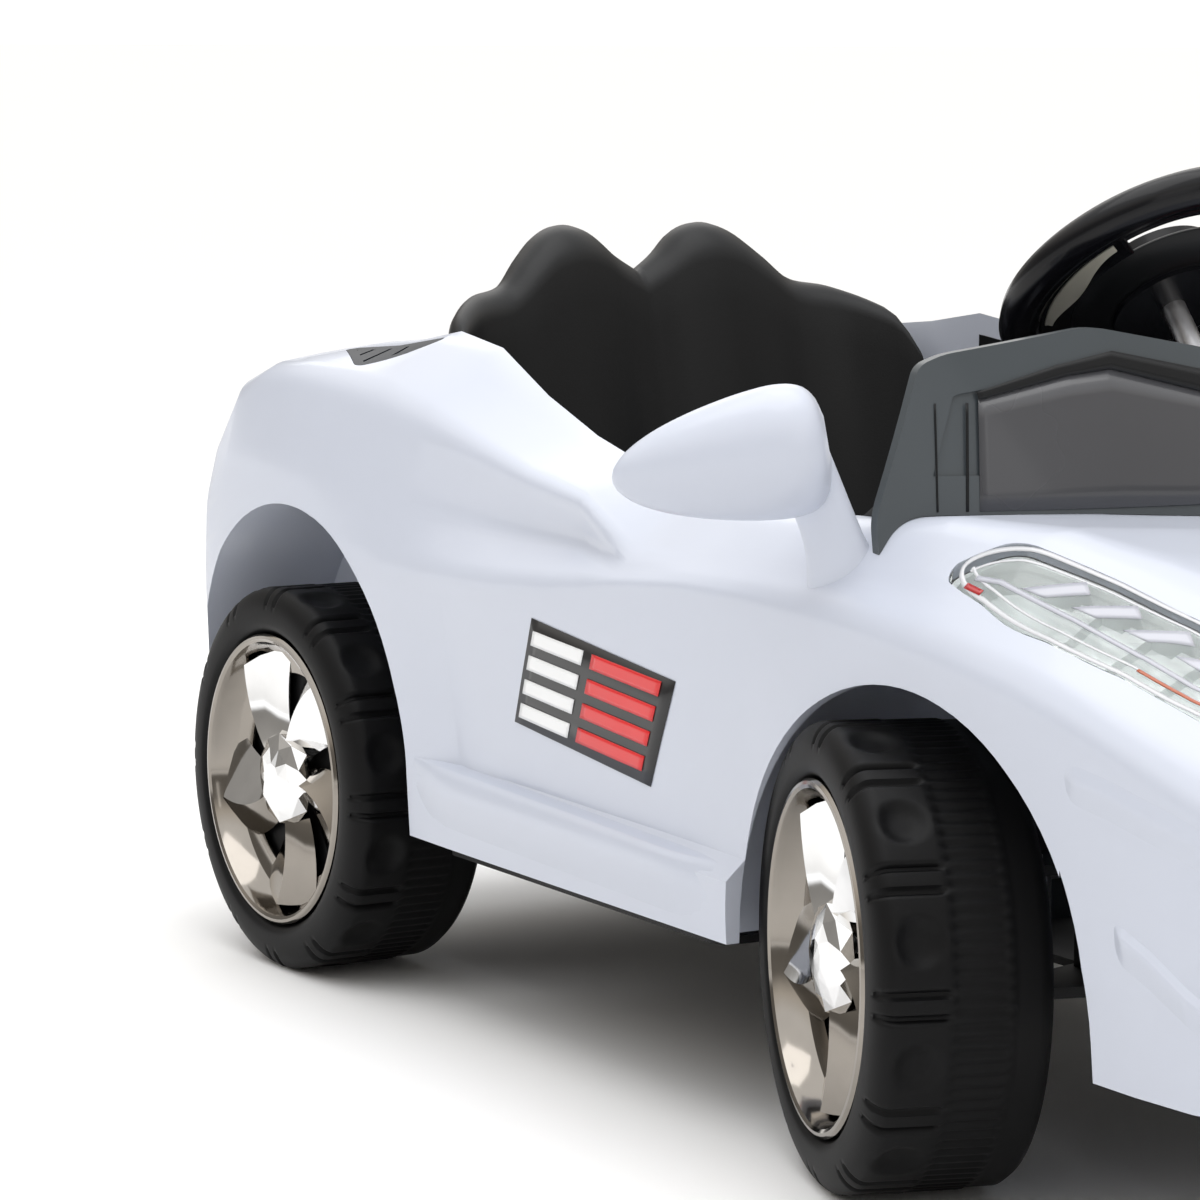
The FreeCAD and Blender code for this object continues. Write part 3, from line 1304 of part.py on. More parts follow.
def pedal():
    """Ribbed plate on a hinge barrel, its bracket with a pin, and the switch beneath."""
    pivot = Vector(pedal_x, pedal_y, floor_top + pedal_rise)
    aside = Vector(0, pedal_half_width, 0)
    plate = box((pedal_x, pedal_y - pedal_half_width, pivot.z - pedal_wall / 2),
                (pedal_x + pedal_length, pedal_y + pedal_half_width, pivot.z + pedal_wall / 2))
    pitch = pedal_length / (pedal_rib_count + 1)
    for i in range(pedal_rib_count):
        x = pedal_x + pitch * (i + 3 / 4)
        plate = plate.cut(box((x, pedal_y - pedal_half_width - overrun, pivot.z + pedal_wall / 4),
                              (x + pitch / 3, pedal_y + pedal_half_width + overrun, pivot.z + overrun)))
    plate = plate.fuse(rod(pivot - aside, pivot + aside, pedal_barrel_radius))
    plate = plate.cut(rod(pivot - aside * 2, pivot + aside * 2, pedal_pin_radius + running_gap))
    pieces["accelerator_pedal"] = turned(plate, pivot, Vector(0, 1, 0), -pedal_tilt)
    reach = pedal_half_width + seat_gap
    bracket = rod(pivot - Vector(0, reach + pedal_ear_wall, 0),
                  pivot + Vector(0, reach + pedal_ear_wall, 0), pedal_pin_radius)
    for side in (-1, 1):
        low, high = sorted((pedal_y + side * reach, pedal_y + side * (reach + pedal_ear_wall)))
        ear = box((pedal_x - pedal_barrel_radius, low, floor_top),
                  (pedal_x + pedal_barrel_radius, high, pivot.z))
        ear = ear.fuse(rod(Vector(pedal_x, low, pivot.z), Vector(pedal_x, high, pivot.z),
                           pedal_barrel_radius))
        bracket = bracket.fuse(ear)
    base = box((pedal_x - pedal_barrel_radius, pedal_y - reach - pedal_ear_wall, floor_top),
               (pedal_x + pedal_barrel_radius, pedal_y + reach + pedal_ear_wall, floor_top + pedal_wall))
    pieces["pedal_bracket"] = bracket.fuse(base)
    length, width, height = pedal_switch_size
    block = box((pedal_switch_x, pedal_y - width / 2, floor_top),
                (pedal_switch_x + length, pedal_y + width / 2, floor_top + height))
    top = Vector(pedal_switch_x + length / 2, pedal_y, floor_top + height)
    pieces["pedal_switch"] = block.fuse(rod(top, top + Vector(0, 0, plunger_length), plunger_radius))


def build():
    pieces["body_shell"] = body_shell()
    pieces["floor_tray"] = floor_tray()
    headlamps()
    body_inserts()
    pieces["windscreen"] = windscreen()
    mirrors()
    pieces["seat"] = seat()
    cockpit_liners()
    pieces["dashboard"] = dashboard()
    pieces["power_switch"] = rocker(switch_places[0])
    pieces["direction_switch"] = rocker(switch_places[1])
    pieces["charge_socket"] = charge_socket()
    wheels()
    for side, word in ((-1, "right"), (1, "left")):
        pieces["knuckle_" + word] = steered(knuckle(side), side)
        pieces["kingpin_carrier_" + word] = carrier(side)
    pieces["kingpins"] = Part.makeCompound([kingpin_pin(side) for side in (-1, 1)])
    pieces["tie_rod"] = tie_rod()
    pieces["steering_column"] = column()
    pieces["column_post"] = column_post()
    pieces["column_bush"] = column_bush()
    pieces["steering_wheel"] = steering_wheel()
    pieces["horn_button"] = horn_button()
    pieces["spoke_blades"] = spoke_blades()
    gears()
    gearbox()
    pieces["battery"] = battery()
    pieces["control_box"] = control_box()
    pedal()


build()
os.makedirs("parts", exist_ok=True)
for name, shape in pieces.items():
    shape.exportStep("parts/" + name + ".step")
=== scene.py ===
import bpy
import bmesh
import json
import math
from mathutils import Matrix, Vector
from mathutils.bvhtree import BVHTree


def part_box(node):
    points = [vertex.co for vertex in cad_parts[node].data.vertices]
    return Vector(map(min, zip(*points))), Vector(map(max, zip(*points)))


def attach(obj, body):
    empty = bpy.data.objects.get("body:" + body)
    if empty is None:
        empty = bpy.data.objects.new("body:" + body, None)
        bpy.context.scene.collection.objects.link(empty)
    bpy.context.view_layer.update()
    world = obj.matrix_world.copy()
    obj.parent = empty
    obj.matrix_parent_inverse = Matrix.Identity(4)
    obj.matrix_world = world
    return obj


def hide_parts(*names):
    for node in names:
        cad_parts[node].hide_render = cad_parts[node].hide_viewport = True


# Looks of the electric ride-on car, in metres, in the same frame as the solids:
# +X forward, +Y to the car's left, +Z up, with the origin on the ground under the middle.

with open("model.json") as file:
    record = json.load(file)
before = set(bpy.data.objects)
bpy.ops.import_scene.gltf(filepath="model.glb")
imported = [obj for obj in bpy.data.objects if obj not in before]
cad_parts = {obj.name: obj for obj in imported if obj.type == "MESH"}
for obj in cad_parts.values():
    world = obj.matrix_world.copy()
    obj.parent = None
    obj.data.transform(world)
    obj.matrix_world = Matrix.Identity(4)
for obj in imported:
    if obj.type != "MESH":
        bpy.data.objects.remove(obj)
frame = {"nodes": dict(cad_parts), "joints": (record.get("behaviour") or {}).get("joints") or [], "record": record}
nodes = frame["nodes"]
joints = {joint["name"]: joint for joint in frame["joints"]}
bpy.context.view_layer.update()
sides = (("right", -1), ("left", 1))

# Camera, found by fitting the wheels and the body's edges
camera_place = Vector((1.7673, -1.2840, 0.5104))
camera_aim = Vector((-0.4062, 0.0, 0.1801))
camera_roll = math.radians(0.27)
camera_lens = 130.08
camera_sensor = 36.0

# Stage: lights as name, place, aim, size and power; the sky's dark band as height and shade
floor_reach = 150
floor_shade = (0.92, 0.92, 0.92)
floor_roughness = 0.7
floor_gloss = (0.65, 0.75)
floor_scale = 4
lights = (
    ("key", (0.1, -0.3, 2.6), (0, 0, 0.2), (2.2, 2.2), 26),
    ("front", (2.8, -0.4, 1.2), (0, 0, 0.2), (1.6, 1.2), 5),
    ("rear", (-2.4, 1.0, 1.8), (0, 0, 0.3), (1.6, 1.6), 8))
sky_foot = 0.03
sky_foot_shade = 0.95
sky_top = 0.7
sky_band = ((0.06, 0.18), (0.34, 0.24), (0.54, 0.8))
sky_warmth = (1, 0.95, 0.88)
sky_strength = 1.42

# Plastics: scale of the slow drift and its band, range of the gloss, depth of the grain
drift_scale = 9
drift_band = (0.3, 0.7)
plastic_gloss = (0.8, 1.25)
grain_depth = 0.0003
coat_roughness = 0.08

# Metals: range of the gloss, shade and depth of the scuffs
metal_gloss = (0.6, 1.5)
scuff_shade = 0.92
scuff_depth = 0.0002
scuff_fineness = 4

# Clear plastic: scales of haze and waves, range of the gloss
haze_scale = 60
haze_gloss = (0.7, 1.4)
wave_scale = 25
wave_strength = 0.05
wave_depth = 0.0005
clear_index = 1.3

# Joining and shading of meshes
weld_distance = 0.00002
piece_weld = weld_distance / 4
sharp_angle = math.radians(34)
tyre_sharp = math.radians(50)
cap_sharp = math.radians(24)
seat_sharp = math.radians(60)
mirror_sharp = math.radians(50)

# Tyre tread
block_count = 12
steps_per_block = 54
ribs_per_block = 9
rib_depth = 0.0013
rib_floor = 0.3
rib_steepness = 1.4
rib_band = -0.019
rib_fade = 0.0025
groove_depth = 0.0028
groove_half_width = 0.0016
groove_apart = 0.0105
dimple_depth = 0.0032
dimple_radius = 0.0125
dimple_offset = 0.022
block_band = 0.0075
block_fade = 0.002
plain_drop = 0.0012

# Wheel's section: lips as inset from the face or the back, and rise over the rim or drop below the tread
wheel_bore = 0.0062
wheel_boss = 0.013
boss_inset = 0.006
web_inset = 0.0215
web_back = 0.0255
web_rise = 0.004
rim_gap = 0.0003
rim_lip = ((0.004, 0.0003), (0.0006, 0.0032), (0.0, 0.006))
back_lip = ((0.007, plain_drop), (0.0036, 0.0035), (0.0027, 0.006), (0.004, 0.0068))
barrel_inset = 0.012
barrel_drop = 0.0068
wall_inset = 0.008
wall_rise = 0.006
shoulder_width = 0.010
shoulder_height = 0.016
shoulder_steps = 8
shoulder_plain = 2
tread_steps = 30
tread_past_ribs = 0.012

# Hub caps: dish as inset from the rim and depth behind the face, middle as radius and depth
cap_wall = 0.0014
cap_columns = 96
cap_rows = (
    (0, 0.006), (0, 0.0018), (0.0012, 0.0003), (0.0028, 0), (0.0044, 0.001), (0.0056, 0.0038), (0.0074, 0.0098),
    (0.011, 0.0148), (0.017, 0.0172), (0.0225, 0.0178))
blade_count = 5
first_blade = math.radians(-8)
blade_steps = 10
blade_ridge = 0.62
blade_marks = (0, 0.2, 0.4, blade_ridge, 0.74, 0.88, 1)
blade_root = 0.019
blade_end_inset = 0.0095
blade_floor = 0.0135
blade_low = -0.0036
blade_crest = 0.0085
blade_root_crest = 0.8
blade_half_degrees = 29
blade_taper_degrees = 4
blade_lean = math.radians(-17)
blade_lean_power = 1.3
middle_sides = 2 * blade_count
middle_rows = ((0.0265, 0.0125), (0.0245, 0.0066), (0.0175, 0.0034), (0.0088, 0.0014))
middle_tip = 0.0009

# Seat back: share of the half width, then shares of the height, the depth and the wing's reach forward
seat_rows = (
    (0.0, 0.934, 0.66, 0.0), (0.1, 0.958, 0.76, 0.0), (0.2, 0.989, 0.94, 0.01), (0.305, 1.0, 1.02, 0.04),
    (0.41, 0.988, 0.98, 0.07), (0.515, 0.957, 0.9, 0.13), (0.625, 0.92, 0.74, 0.21), (0.78, 0.907, 0.68, 0.38),
    (0.9, 0.887, 0.62, 0.66), (0.96, 0.867, 0.58, 0.85), (1.0, 0.826, 0.5, 1.0))
seat_half_width = 0.1508
seat_top = 0.402
seat_low = 0.172
seat_foot_x = -0.318
seat_lean = 0.058
seat_reach = 0.052
seat_depth = 0.040
seat_slices = 44
seat_side_steps = 11
seat_top_steps = 12

# Seat cushion and front skirt: place along, height and share of the dip
cushion_half_width = 0.142
cushion_dip = 0.007
cushion_slices = 28
cushion_rows = (
    (-0.318, 0.182, 0.6), (-0.27, 0.183, 1), (-0.22, 0.1845, 1), (-0.17, 0.187, 1), (-0.13, 0.189, 0.8),
    (-0.105, 0.1895, 0.4), (-0.093, 0.188, 0.1), (-0.086, 0.183, 0), (-0.083, 0.175, 0), (-0.083, 0.098, 0),
    (-0.096, 0.098, 0), (-0.096, 0.172, 0), (-0.102, 0.1755, 0.2), (-0.13, 0.176, 0.8), (-0.22, 0.1725, 1),
    (-0.318, 0.170, 0.6))

# Right mirror: share along the head and share of its half height; stalk from the fender to the head's neck
mirror_rows = (
    (0.0, 0.42), (0.025, 0.7), (0.08, 0.91), (0.19, 1.0), (0.34, 0.97), (0.5, 0.88), (0.66, 0.75), (0.8, 0.59),
    (0.92, 0.38), (0.985, 0.17), (1.0, 0.05))
mirror_root = Vector((0.168, -0.222, 0.330))
mirror_tip = Vector((0.117, -0.303, 0.313))
mirror_half_height = 0.030
mirror_half_depth = 0.022
mirror_back = 0.0072
mirror_around = 48
mirror_steps = 40
stalk_foot = Vector((0.171, -0.203, 0.252))
stalk_length = 0.021
stalk_width = 0.0085
stalk_turn = math.radians(41)
stalk_steps = 14
stalk_waist = 0.68
stalk_flare = 0.5
stalk_flare_rate = 1.5
neck_share = 0.14

# Sheets laid on the solids
sheet_lift = 0.00035
sheet_draw_in = 0.03

# Door decal: corners in shares of its box, from low rear round to high rear; places of the first bars' ends
decal_low = Vector((-0.102, 0.0, 0.154))
decal_high = Vector((0.053, 0.0, 0.224))
decal_back = ((0.0, 0.2), (0.82, 0), (1, 0.78), (0.18, 1))
decal_steps = 14
bar_rows = 4
bar_height = 0.11
bar_slant = 0.025
bar_shift = Vector((-0.042, -0.185))
white_bar = (Vector((0.16, 0.8)), Vector((0.46, 0.74)))
red_bar = (Vector((0.51, 0.73)), Vector((0.9, 0.65)))

# Headlamps: outline as length and share of the half width; edges as outer and inner inset; lines in plan
body_half_width = 0.242
lamp_corners = (
    (0.231, 0.847), (0.29, 0.868), (0.345, 0.835), (0.4, 0.785), (0.447, 0.67), (0.405, 0.59), (0.35, 0.655),
    (0.297, 0.7), (0.255, 0.745))
lamp_edges = (("rim", 0.0006, 0.0026), ("seam", 0.0062, 0.0074))
lamp_bar_count = 4
lamp_bar_corners = ((0.2765, 0.1945), (0.2985, 0.1762), (0.3060, 0.1795), (0.2900, 0.1920))
lamp_bar_shift = (0.0282, -0.0058)
lamp_step = (
    (0.2520, 0.2015), (0.2660, 0.1985), (0.3067, 0.1945), (0.3506, 0.1890), (0.3800, 0.1830), (0.4050, 0.1745))
lamp_step_width = 0.0022
lamp_marker = ((0.2500, 0.2056), (0.2615, 0.2056))
lamp_marker_width = 0.0024
lamp_glow = ((0.3568, 0.1938), (0.3700, 0.1910), (0.3850, 0.1875), (0.4000, 0.1830))
lamp_glow_width = 0.0014
lamp_steps = 10
lamp_line_steps = 8
above_car = 1

# Windscreen: the face's sweep and bow, and the step round the panel as places across and up; a black sheet in the
# step is painted shadow
screen_low = 0.262
screen_high = 0.392
screen_foot_x = 0.241
screen_top_x = 0.193
screen_foot_bow = 0.052
screen_top_bow = 0.024
screen_half_width = 0.214
screen_steps = 10
screen_step_top = ((0.0, 0.3503), (0.0428, 0.3595), (0.0886, 0.3688), (0.119, 0.3629), (0.1583, 0.3522))
screen_step_foot = ((0.0, 0.3407), (0.045, 0.3496), (0.091, 0.3610), (0.1133, 0.3585), (0.1577, 0.3488))
screen_step_lift = 0.0011
screen_panel_low = 0.300
screen_panel_flare = 1.035
screen_panel_lift = 0.0007
# Grooves beside the panel: name, place across at the top and the foot, width
screen_grooves = (("inner", 0.1625, 0.1682, 0.0012), ("outer", 0.1775, 0.1815, 0.0008))
screen_groove_top = 0.3475

# Pressed lines: path along and up, width above and below it, height; profile as shares of width and height
pressed_sink = 0.0005
pressed_steps = 24
pressed_fade = 7
pressed_profile = (
    (1, 0), (0.6, 0.25), (0.2, 0.85), (0, 1), (-0.1, 0.98), (-0.4, 0.62), (-0.75, 0.18), (-1, 0))
pressed_lines = (
    ("sill_ledge", ((-0.206, 0.1350), (0.094, 0.1277)), 0.0022, 0.034, 0.0060),
    ("nose_crease", ((0.345, 0.2085), (0.3758, 0.2030), (0.4086, 0.1946), (0.440, 0.1845)), 0.010, 0.014, 0.0022),
    ("lip_crease", ((0.378, 0.1505), (0.4019, 0.1401), (0.4287, 0.1252), (0.445, 0.1160)), 0.005, 0.016, 0.0028))

# Steering wheel: turns in degrees from its top, sections as radius and rise towards the driver
steering_rest = -18
full_turn = (0, 360)
ring_steps = 96
dish_section = ((0.0265, -0.0148), (0.034, -0.0142), (0.042, -0.0108), (0.048, -0.0066))
dish_wall = 0.0026
flange_section = ((0.0563, -0.0044), (0.0598, -0.0040), (0.0628, -0.0038))
flange_wall = 0.0022
spoke_section = ((0.047, -0.0072), (0.054, -0.0048), (0.0625, -0.0042))
spoke_turns = (32, 138)
spoke_steps = 40
spoke_wall = 0.0026
# Bright blade: section as share of its width in from its outer edge and rise
bright_section = ((0, -0.0062), (0.5, -0.0066), (1, -0.0078))
bright_radius = 0.0608
bright_turns = (38, 99)
bright_steps = 36
bright_wall = 0.0012
bright_narrow = 0.0035
bright_swell = 0.0085
bright_growth = 0.55
bright_end = 1.02
bright_decline = 0.42


# Materials
def material(name, colour, roughness):
    """New material with its node tree and shader."""
    made = bpy.data.materials.new(name)
    made.use_nodes = True
    tree = made.node_tree
    shader = tree.nodes["Principled BSDF"]
    shader.inputs["Base Color"].default_value = (*colour, 1)
    shader.inputs["Roughness"].default_value = roughness
    return made, tree, shader


def noise(tree, scale, detail):
    """Noise in object space, so its grain has a real size."""
    place = tree.nodes.new("ShaderNodeTexCoord")
    grain = tree.nodes.new("ShaderNodeTexNoise")
    grain.inputs["Scale"].default_value = scale
    grain.inputs["Detail"].default_value = detail
    tree.links.new(place.outputs["Object"], grain.inputs["Vector"])
    return grain.outputs["Fac"]


def bump(tree, shader, height, strength, distance):
    """Fine relief from a texture."""
    node = tree.nodes.new("ShaderNodeBump")
    node.inputs["Strength"].default_value = strength
    node.inputs["Distance"].default_value = distance
    tree.links.new(height, node.inputs["Height"])
    tree.links.new(node.outputs["Normal"], shader.inputs["Normal"])


def gloss(tree, shader, source, low, high):
    """Roughness that varies with a texture between two values."""
    node = tree.nodes.new("ShaderNodeMapRange")
    node.inputs["To Min"].default_value = low
    node.inputs["To Max"].default_value = high
    tree.links.new(source, node.inputs["Value"])
    tree.links.new(node.outputs["Result"], shader.inputs["Roughness"])


def tint(tree, shader, source, dark, light):
    """Colour that drifts between two shades."""
    ramp = tree.nodes.new("ShaderNodeValToRGB")
    for stop, colour, position in zip(ramp.color_ramp.elements, (dark, light), drift_band):
        stop.color = (*colour, 1)
        stop.position = position
    tree.links.new(source, ramp.inputs["Fac"])
    tree.links.new(ramp.outputs["Color"], shader.inputs["Base Color"])


def moulded(name, colour, roughness, grain, strength, coat=0.0, drift=0.06, shine=0.5):
    """Moulded plastic: faint grain, slow colour drift and uneven gloss."""
    made, tree, shader = material(name, colour, roughness)
    slow = noise(tree, drift_scale, detail=3)
    tint(tree, shader, slow, [c * (1 - drift) for c in colour], [min(1, c * (1 + drift)) for c in colour])
    gloss(tree, shader, slow, *(roughness * share for share in plastic_gloss))
    bump(tree, shader, noise(tree, grain, detail=4), strength, grain_depth)
    shader.inputs["Specular IOR Level"].default_value = shine
    shader.inputs["Coat Weight"].default_value = coat
    shader.inputs["Coat Roughness"].default_value = coat_roughness
    return made


def metal(name, colour, roughness, grain, strength):
    """Plated or bare metal with light scuffing."""
    made, tree, shader = material(name, colour, roughness)
    scuff = noise(tree, grain, detail=6)
    gloss(tree, shader, scuff, *(roughness * share for share in metal_gloss))
    tint(tree, shader, scuff, [c * scuff_shade for c in colour], colour)
    bump(tree, shader, noise(tree, grain * scuff_fineness, detail=2), strength, scuff_depth)
    shader.inputs["Metallic"].default_value = 1.0
    return made


def clear(name, colour, roughness):
    """Clear moulded plastic."""
    made, tree, shader = material(name, colour, roughness)
    gloss(tree, shader, noise(tree, haze_scale, detail=2), *(roughness * share for share in haze_gloss))
    bump(tree, shader, noise(tree, wave_scale, detail=2), wave_strength, wave_depth)
    shader.inputs["Transmission Weight"].default_value = 1.0
    shader.inputs["IOR"].default_value = clear_index
    return made


# Name, colour, roughness, scale and strength of the grain
white = moulded("body_white", (0.555, 0.59, 0.68), 0.3, 260, 0.03, coat=0.25, drift=0.012)
satin_black = moulded("satin_black", (0.005, 0.0055, 0.0065), 0.4, 900, 0.2, shine=0.26)
chassis_black = moulded("chassis_black", (0.008, 0.008, 0.009), 0.55, 700, 0.3, shine=0.3)
wheel_black = moulded("wheel_black", (0.003, 0.003, 0.0034), 0.5, 600, 0.15, shine=0.16)
gloss_black = moulded("gloss_black", (0.003, 0.0032, 0.0045), 0.24, 300, 0.05, coat=0.12, shine=0.2)
screen_grey = moulded("screen_grey", (0.05, 0.06, 0.068), 0.34, 500, 0.1, coat=0.2, shine=0.4)
screen_panel = moulded("screen_panel", (0.055, 0.056, 0.062), 0.26, 300, 0.05, coat=0.3, shine=0.4)
slate = moulded("slate", (0.014, 0.018, 0.026), 0.4, 700, 0.2, shine=0.3)
chrome = metal("chrome", (0.86, 0.86, 0.86), 0.07, 60, 0.02)
# Darker, warm copy of chrome: painted reflection of dark ground on the cap dish, and painted shade on the blades'
# far facets
chrome_painted_shade = metal("chrome_painted_shade", (0.30, 0.275, 0.245), 0.1, 60, 0.02)
silver = metal("silver", (0.62, 0.61, 0.55), 0.42, 90, 0.05)
steel = metal("steel", (0.6, 0.6, 0.62), 0.32, 140, 0.1)
brass = metal("brass", (0.72, 0.52, 0.2), 0.3, 140, 0.1)
lens = clear("lens", (0.96, 0.985, 0.985), 0.03)
reflector = moulded("reflector", (0.9, 0.935, 0.93), 0.2, 120, 0.05, coat=0.4, drift=0.02)
lamp_edge = moulded("lamp_edge", (0.6, 0.61, 0.64), 0.2, 200, 0.03, coat=0.4)
lamp_bar = moulded("lamp_bar", (0.46, 0.47, 0.53), 0.22, 200, 0.03, coat=0.4)
blade_grey = moulded("blade_grey", (0.40, 0.39, 0.335), 0.4, 300, 0.05, coat=0.1)
amber = moulded("amber", (0.42, 0.09, 0.03), 0.2, 200, 0.03, coat=0.4)
red_lens = moulded("red_lens", (0.42, 0.01, 0.012), 0.14, 150, 0.05, coat=0.6)
mirror_face = metal("mirror_face", (0.9, 0.91, 0.92), 0.03, 30, 0.005)
nylon = moulded("nylon", (0.72, 0.71, 0.66), 0.4, 500, 0.1)
battery_grey = moulded("battery_grey", (0.06, 0.065, 0.07), 0.5, 700, 0.2)
decal_black = moulded("decal_black", (0.006, 0.006, 0.007), 0.35, 400, 0.02, coat=0.2)
decal_white = moulded("decal_white", (0.85, 0.86, 0.87), 0.3, 400, 0.02, coat=0.3, drift=0.01)
decal_red = moulded("decal_red", (0.68, 0.008, 0.01), 0.3, 400, 0.02, coat=0.3)

slot_looks = {
    "body_white": white, "trim_black": satin_black, "chassis_black": chassis_black, "screen_dark": screen_grey,
    "clear_lens": lens, "reflector": reflector, "tail_red": red_lens, "grille_dark": slate, "mirror_white": white,
    "mirror_glass": mirror_face, "wheel_black": wheel_black, "hubcap_chrome": chrome,
    "steering_black": gloss_black, "blade_silver": silver, "steel": steel, "gear_white": nylon,
    "pinion_brass": brass, "battery_grey": battery_grey, "switch_red": red_lens}


# Mesh pieces
def split_sharp(piece, angle):
    """Keep edges that turn by more than an angle sharp."""
    split = piece.modifiers.new("sharp", "EDGE_SPLIT")
    split.split_angle = angle


def thicken(piece, thickness, offset=0):
    """Give a sheet a wall, on both its faces or with an offset towards one."""
    wall = piece.modifiers.new("wall", "SOLIDIFY")
    wall.thickness = thickness
    wall.offset = offset


def dress_solids():
    """Give every carried-over solid its material and smooth shading between sharp edges."""
    slots = {row["node"]: row["material_slot"] for row in frame["record"]["subparts"]}
    for name, piece in nodes.items():
        piece.data.materials.clear()
        piece.data.materials.append(slot_looks[slots[name]])
        piece.data.polygons.foreach_set("use_smooth", [True] * len(piece.data.polygons))
        weld = piece.modifiers.new("weld", "WELD")
        weld.merge_threshold = weld_distance
        split_sharp(piece, sharp_angle)


def add_piece(name, points, faces, look, smooth=True):
    """Mesh object from points and faces, with its normals facing out."""
    mesh = bpy.data.meshes.new(name)
    mesh.from_pydata(points, [], faces)
    shaped = bmesh.new()
    shaped.from_mesh(mesh)
    bmesh.ops.remove_doubles(shaped, verts=shaped.verts, dist=piece_weld)
    bmesh.ops.recalc_face_normals(shaped, faces=shaped.faces)
    shaped.to_mesh(mesh)
    shaped.free()
    mesh.materials.append(look)
    mesh.polygons.foreach_set("use_smooth", [smooth] * len(mesh.polygons))
    piece = bpy.data.objects.new(name, mesh)
    bpy.context.scene.collection.objects.link(piece)
    return piece


def grid(rows, columns, first=0, ring=False, loop=False):
    """Faces over rows of points. A ring joins the ends of each row, and a loop the last row to the first."""
    faces = []
    for i in range(rows if loop else rows - 1):
        here = first + i * columns
        there = first + (i + 1) % rows * columns
        for j in range(columns if ring else columns - 1):
            k = (j + 1) % columns
            faces.append((here + j, there + j, there + k, here + k))
    return faces


def tube(rows, columns, first=0):
    """Faces of a closed form over rows of points, with a face over each of its ends."""
    last = first + (rows - 1) * columns
    ends = [tuple(range(first, first + columns)), tuple(range(last, last + columns))]
    return grid(rows, columns, first, ring=True) + ends


def turns(count):
    """Angles at even steps round a circle."""
    return [2 * math.pi * i / count for i in range(count)]


def polar(radius, angle, rise):
    """Point at a radius and an angle round Z."""
    return radius * math.cos(angle), radius * math.sin(angle), rise


def soft_step(value):
    """Smooth rise from 0 to 1."""
    t = min(1, max(0, value))
    return t * t * (3 - 2 * t)


def through(rows, share):
    """Smooth values at a share, read from rows of a share and some values."""
    i = 0
    while i < len(rows) - 2 and share > rows[i + 1][0]:
        i += 1
    a, b = rows[i], rows[i + 1]
    before = rows[max(i - 1, 0)]
    after = rows[min(i + 2, len(rows) - 1)]
    span = b[0] - a[0]
    t = (share - a[0]) / span
    values = []
    for k in range(1, len(a)):
        rise_a = (b[k] - before[k]) / (b[0] - before[0]) * span
        rise_b = (after[k] - a[k]) / (after[0] - a[0]) * span
        values.append(a[k] * (1 + 2 * t) * (1 - t) ** 2 + rise_a * t * (1 - t) ** 2
                      + b[k] * t * t * (3 - 2 * t) + rise_b * t * t * (t - 1))
    return values


# Wheels
def wheel_sizes(name):
    """Radius of a right rear wheel's or cap's solid, and its reach outwards from the wheel's middle."""
    low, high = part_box(name)
    return (high.z - low.z) / 2, joints["rear_right_spin"]["pos_m"][1] - low.y


def wheel_place(joint_name, side):
    """Turn and place of a wheel: Z out along its axle, Y up."""
    joint = joints[joint_name]
    out = Vector(joint["axis"]) * side
    forward = Vector((0, 0, 1)).cross(out).normalized()
    up = out.cross(forward)
    turn = Matrix((forward, up, out)).transposed().to_4x4()
    return Matrix.Translation(Vector(joint["pos_m"])) @ turn


def each_wheel():
    """End and side of each wheel, with its turn and place."""
    for end in ("rear", "front"):
        for word, side in sides:
            yield end, word, wheel_place(f"{end}_{word}_spin", side)


def tread_relief(offset, turn, radius):
    """Depth of the tread's grooves, dimples and ribs below the wheel's outline."""
    pitch = 2 * math.pi / block_count
    across = ((turn / pitch + 0.5) % 1 - 0.5) * pitch * radius
    if offset > block_band:
        fade = soft_step((offset - block_band) / block_fade)
        near = abs(abs(across) - groove_apart / 2)
        groove = groove_depth * (1 - soft_step((near - groove_half_width / 2) / groove_half_width))
        middle = abs(across) - pitch * radius / 2
        reach = math.hypot(middle, offset - dimple_offset) / dimple_radius
        dimple = dimple_depth * (1 - soft_step(reach ** 2))
        return fade * max(groove, dimple)
    if offset > rib_band:
        fade = soft_step((block_band - offset) / rib_fade) * soft_step((offset - rib_band) / rib_fade)
        wave = math.cos(turn * block_count * ribs_per_block)
        return rib_depth * (rib_floor + fade * (1 - rib_floor) * soft_step(0.5 - rib_steepness * wave))
    return plain_drop


def wheel_section(radius, half_width, rim):
    """Closed section of the moulded wheel as rows of offset, radius and whether the tread shows there."""
    rows = [(half_width - web_inset, wheel_bore, False), (half_width - web_inset, rim, False)]
    rows += [(half_width - inset, rim + rise, False) for inset, rise in rim_lip]
    edge = half_width - shoulder_width
    for i in range(shoulder_steps + 1):
        turn = math.pi / 2 * i / shoulder_steps
        rows.append((edge + shoulder_width * math.cos(turn),
                     radius - shoulder_height + shoulder_height * math.sin(turn), i > shoulder_plain))
    run = rib_band - tread_past_ribs - edge
    rows += [(edge + run * i / tread_steps, radius, True) for i in range(1, tread_steps + 1)]
    rows += [(inset - half_width, radius - drop, False) for inset, drop in back_lip]
    rows += [(half_width - barrel_inset, radius - barrel_drop, False),
             (half_width - wall_inset, rim + wall_rise, False),
             (half_width - web_back, rim + web_rise, False), (half_width - web_back, wheel_boss, False),
             (boss_inset - half_width, wheel_boss, False), (boss_inset - half_width, wheel_bore, False)]
    return rows


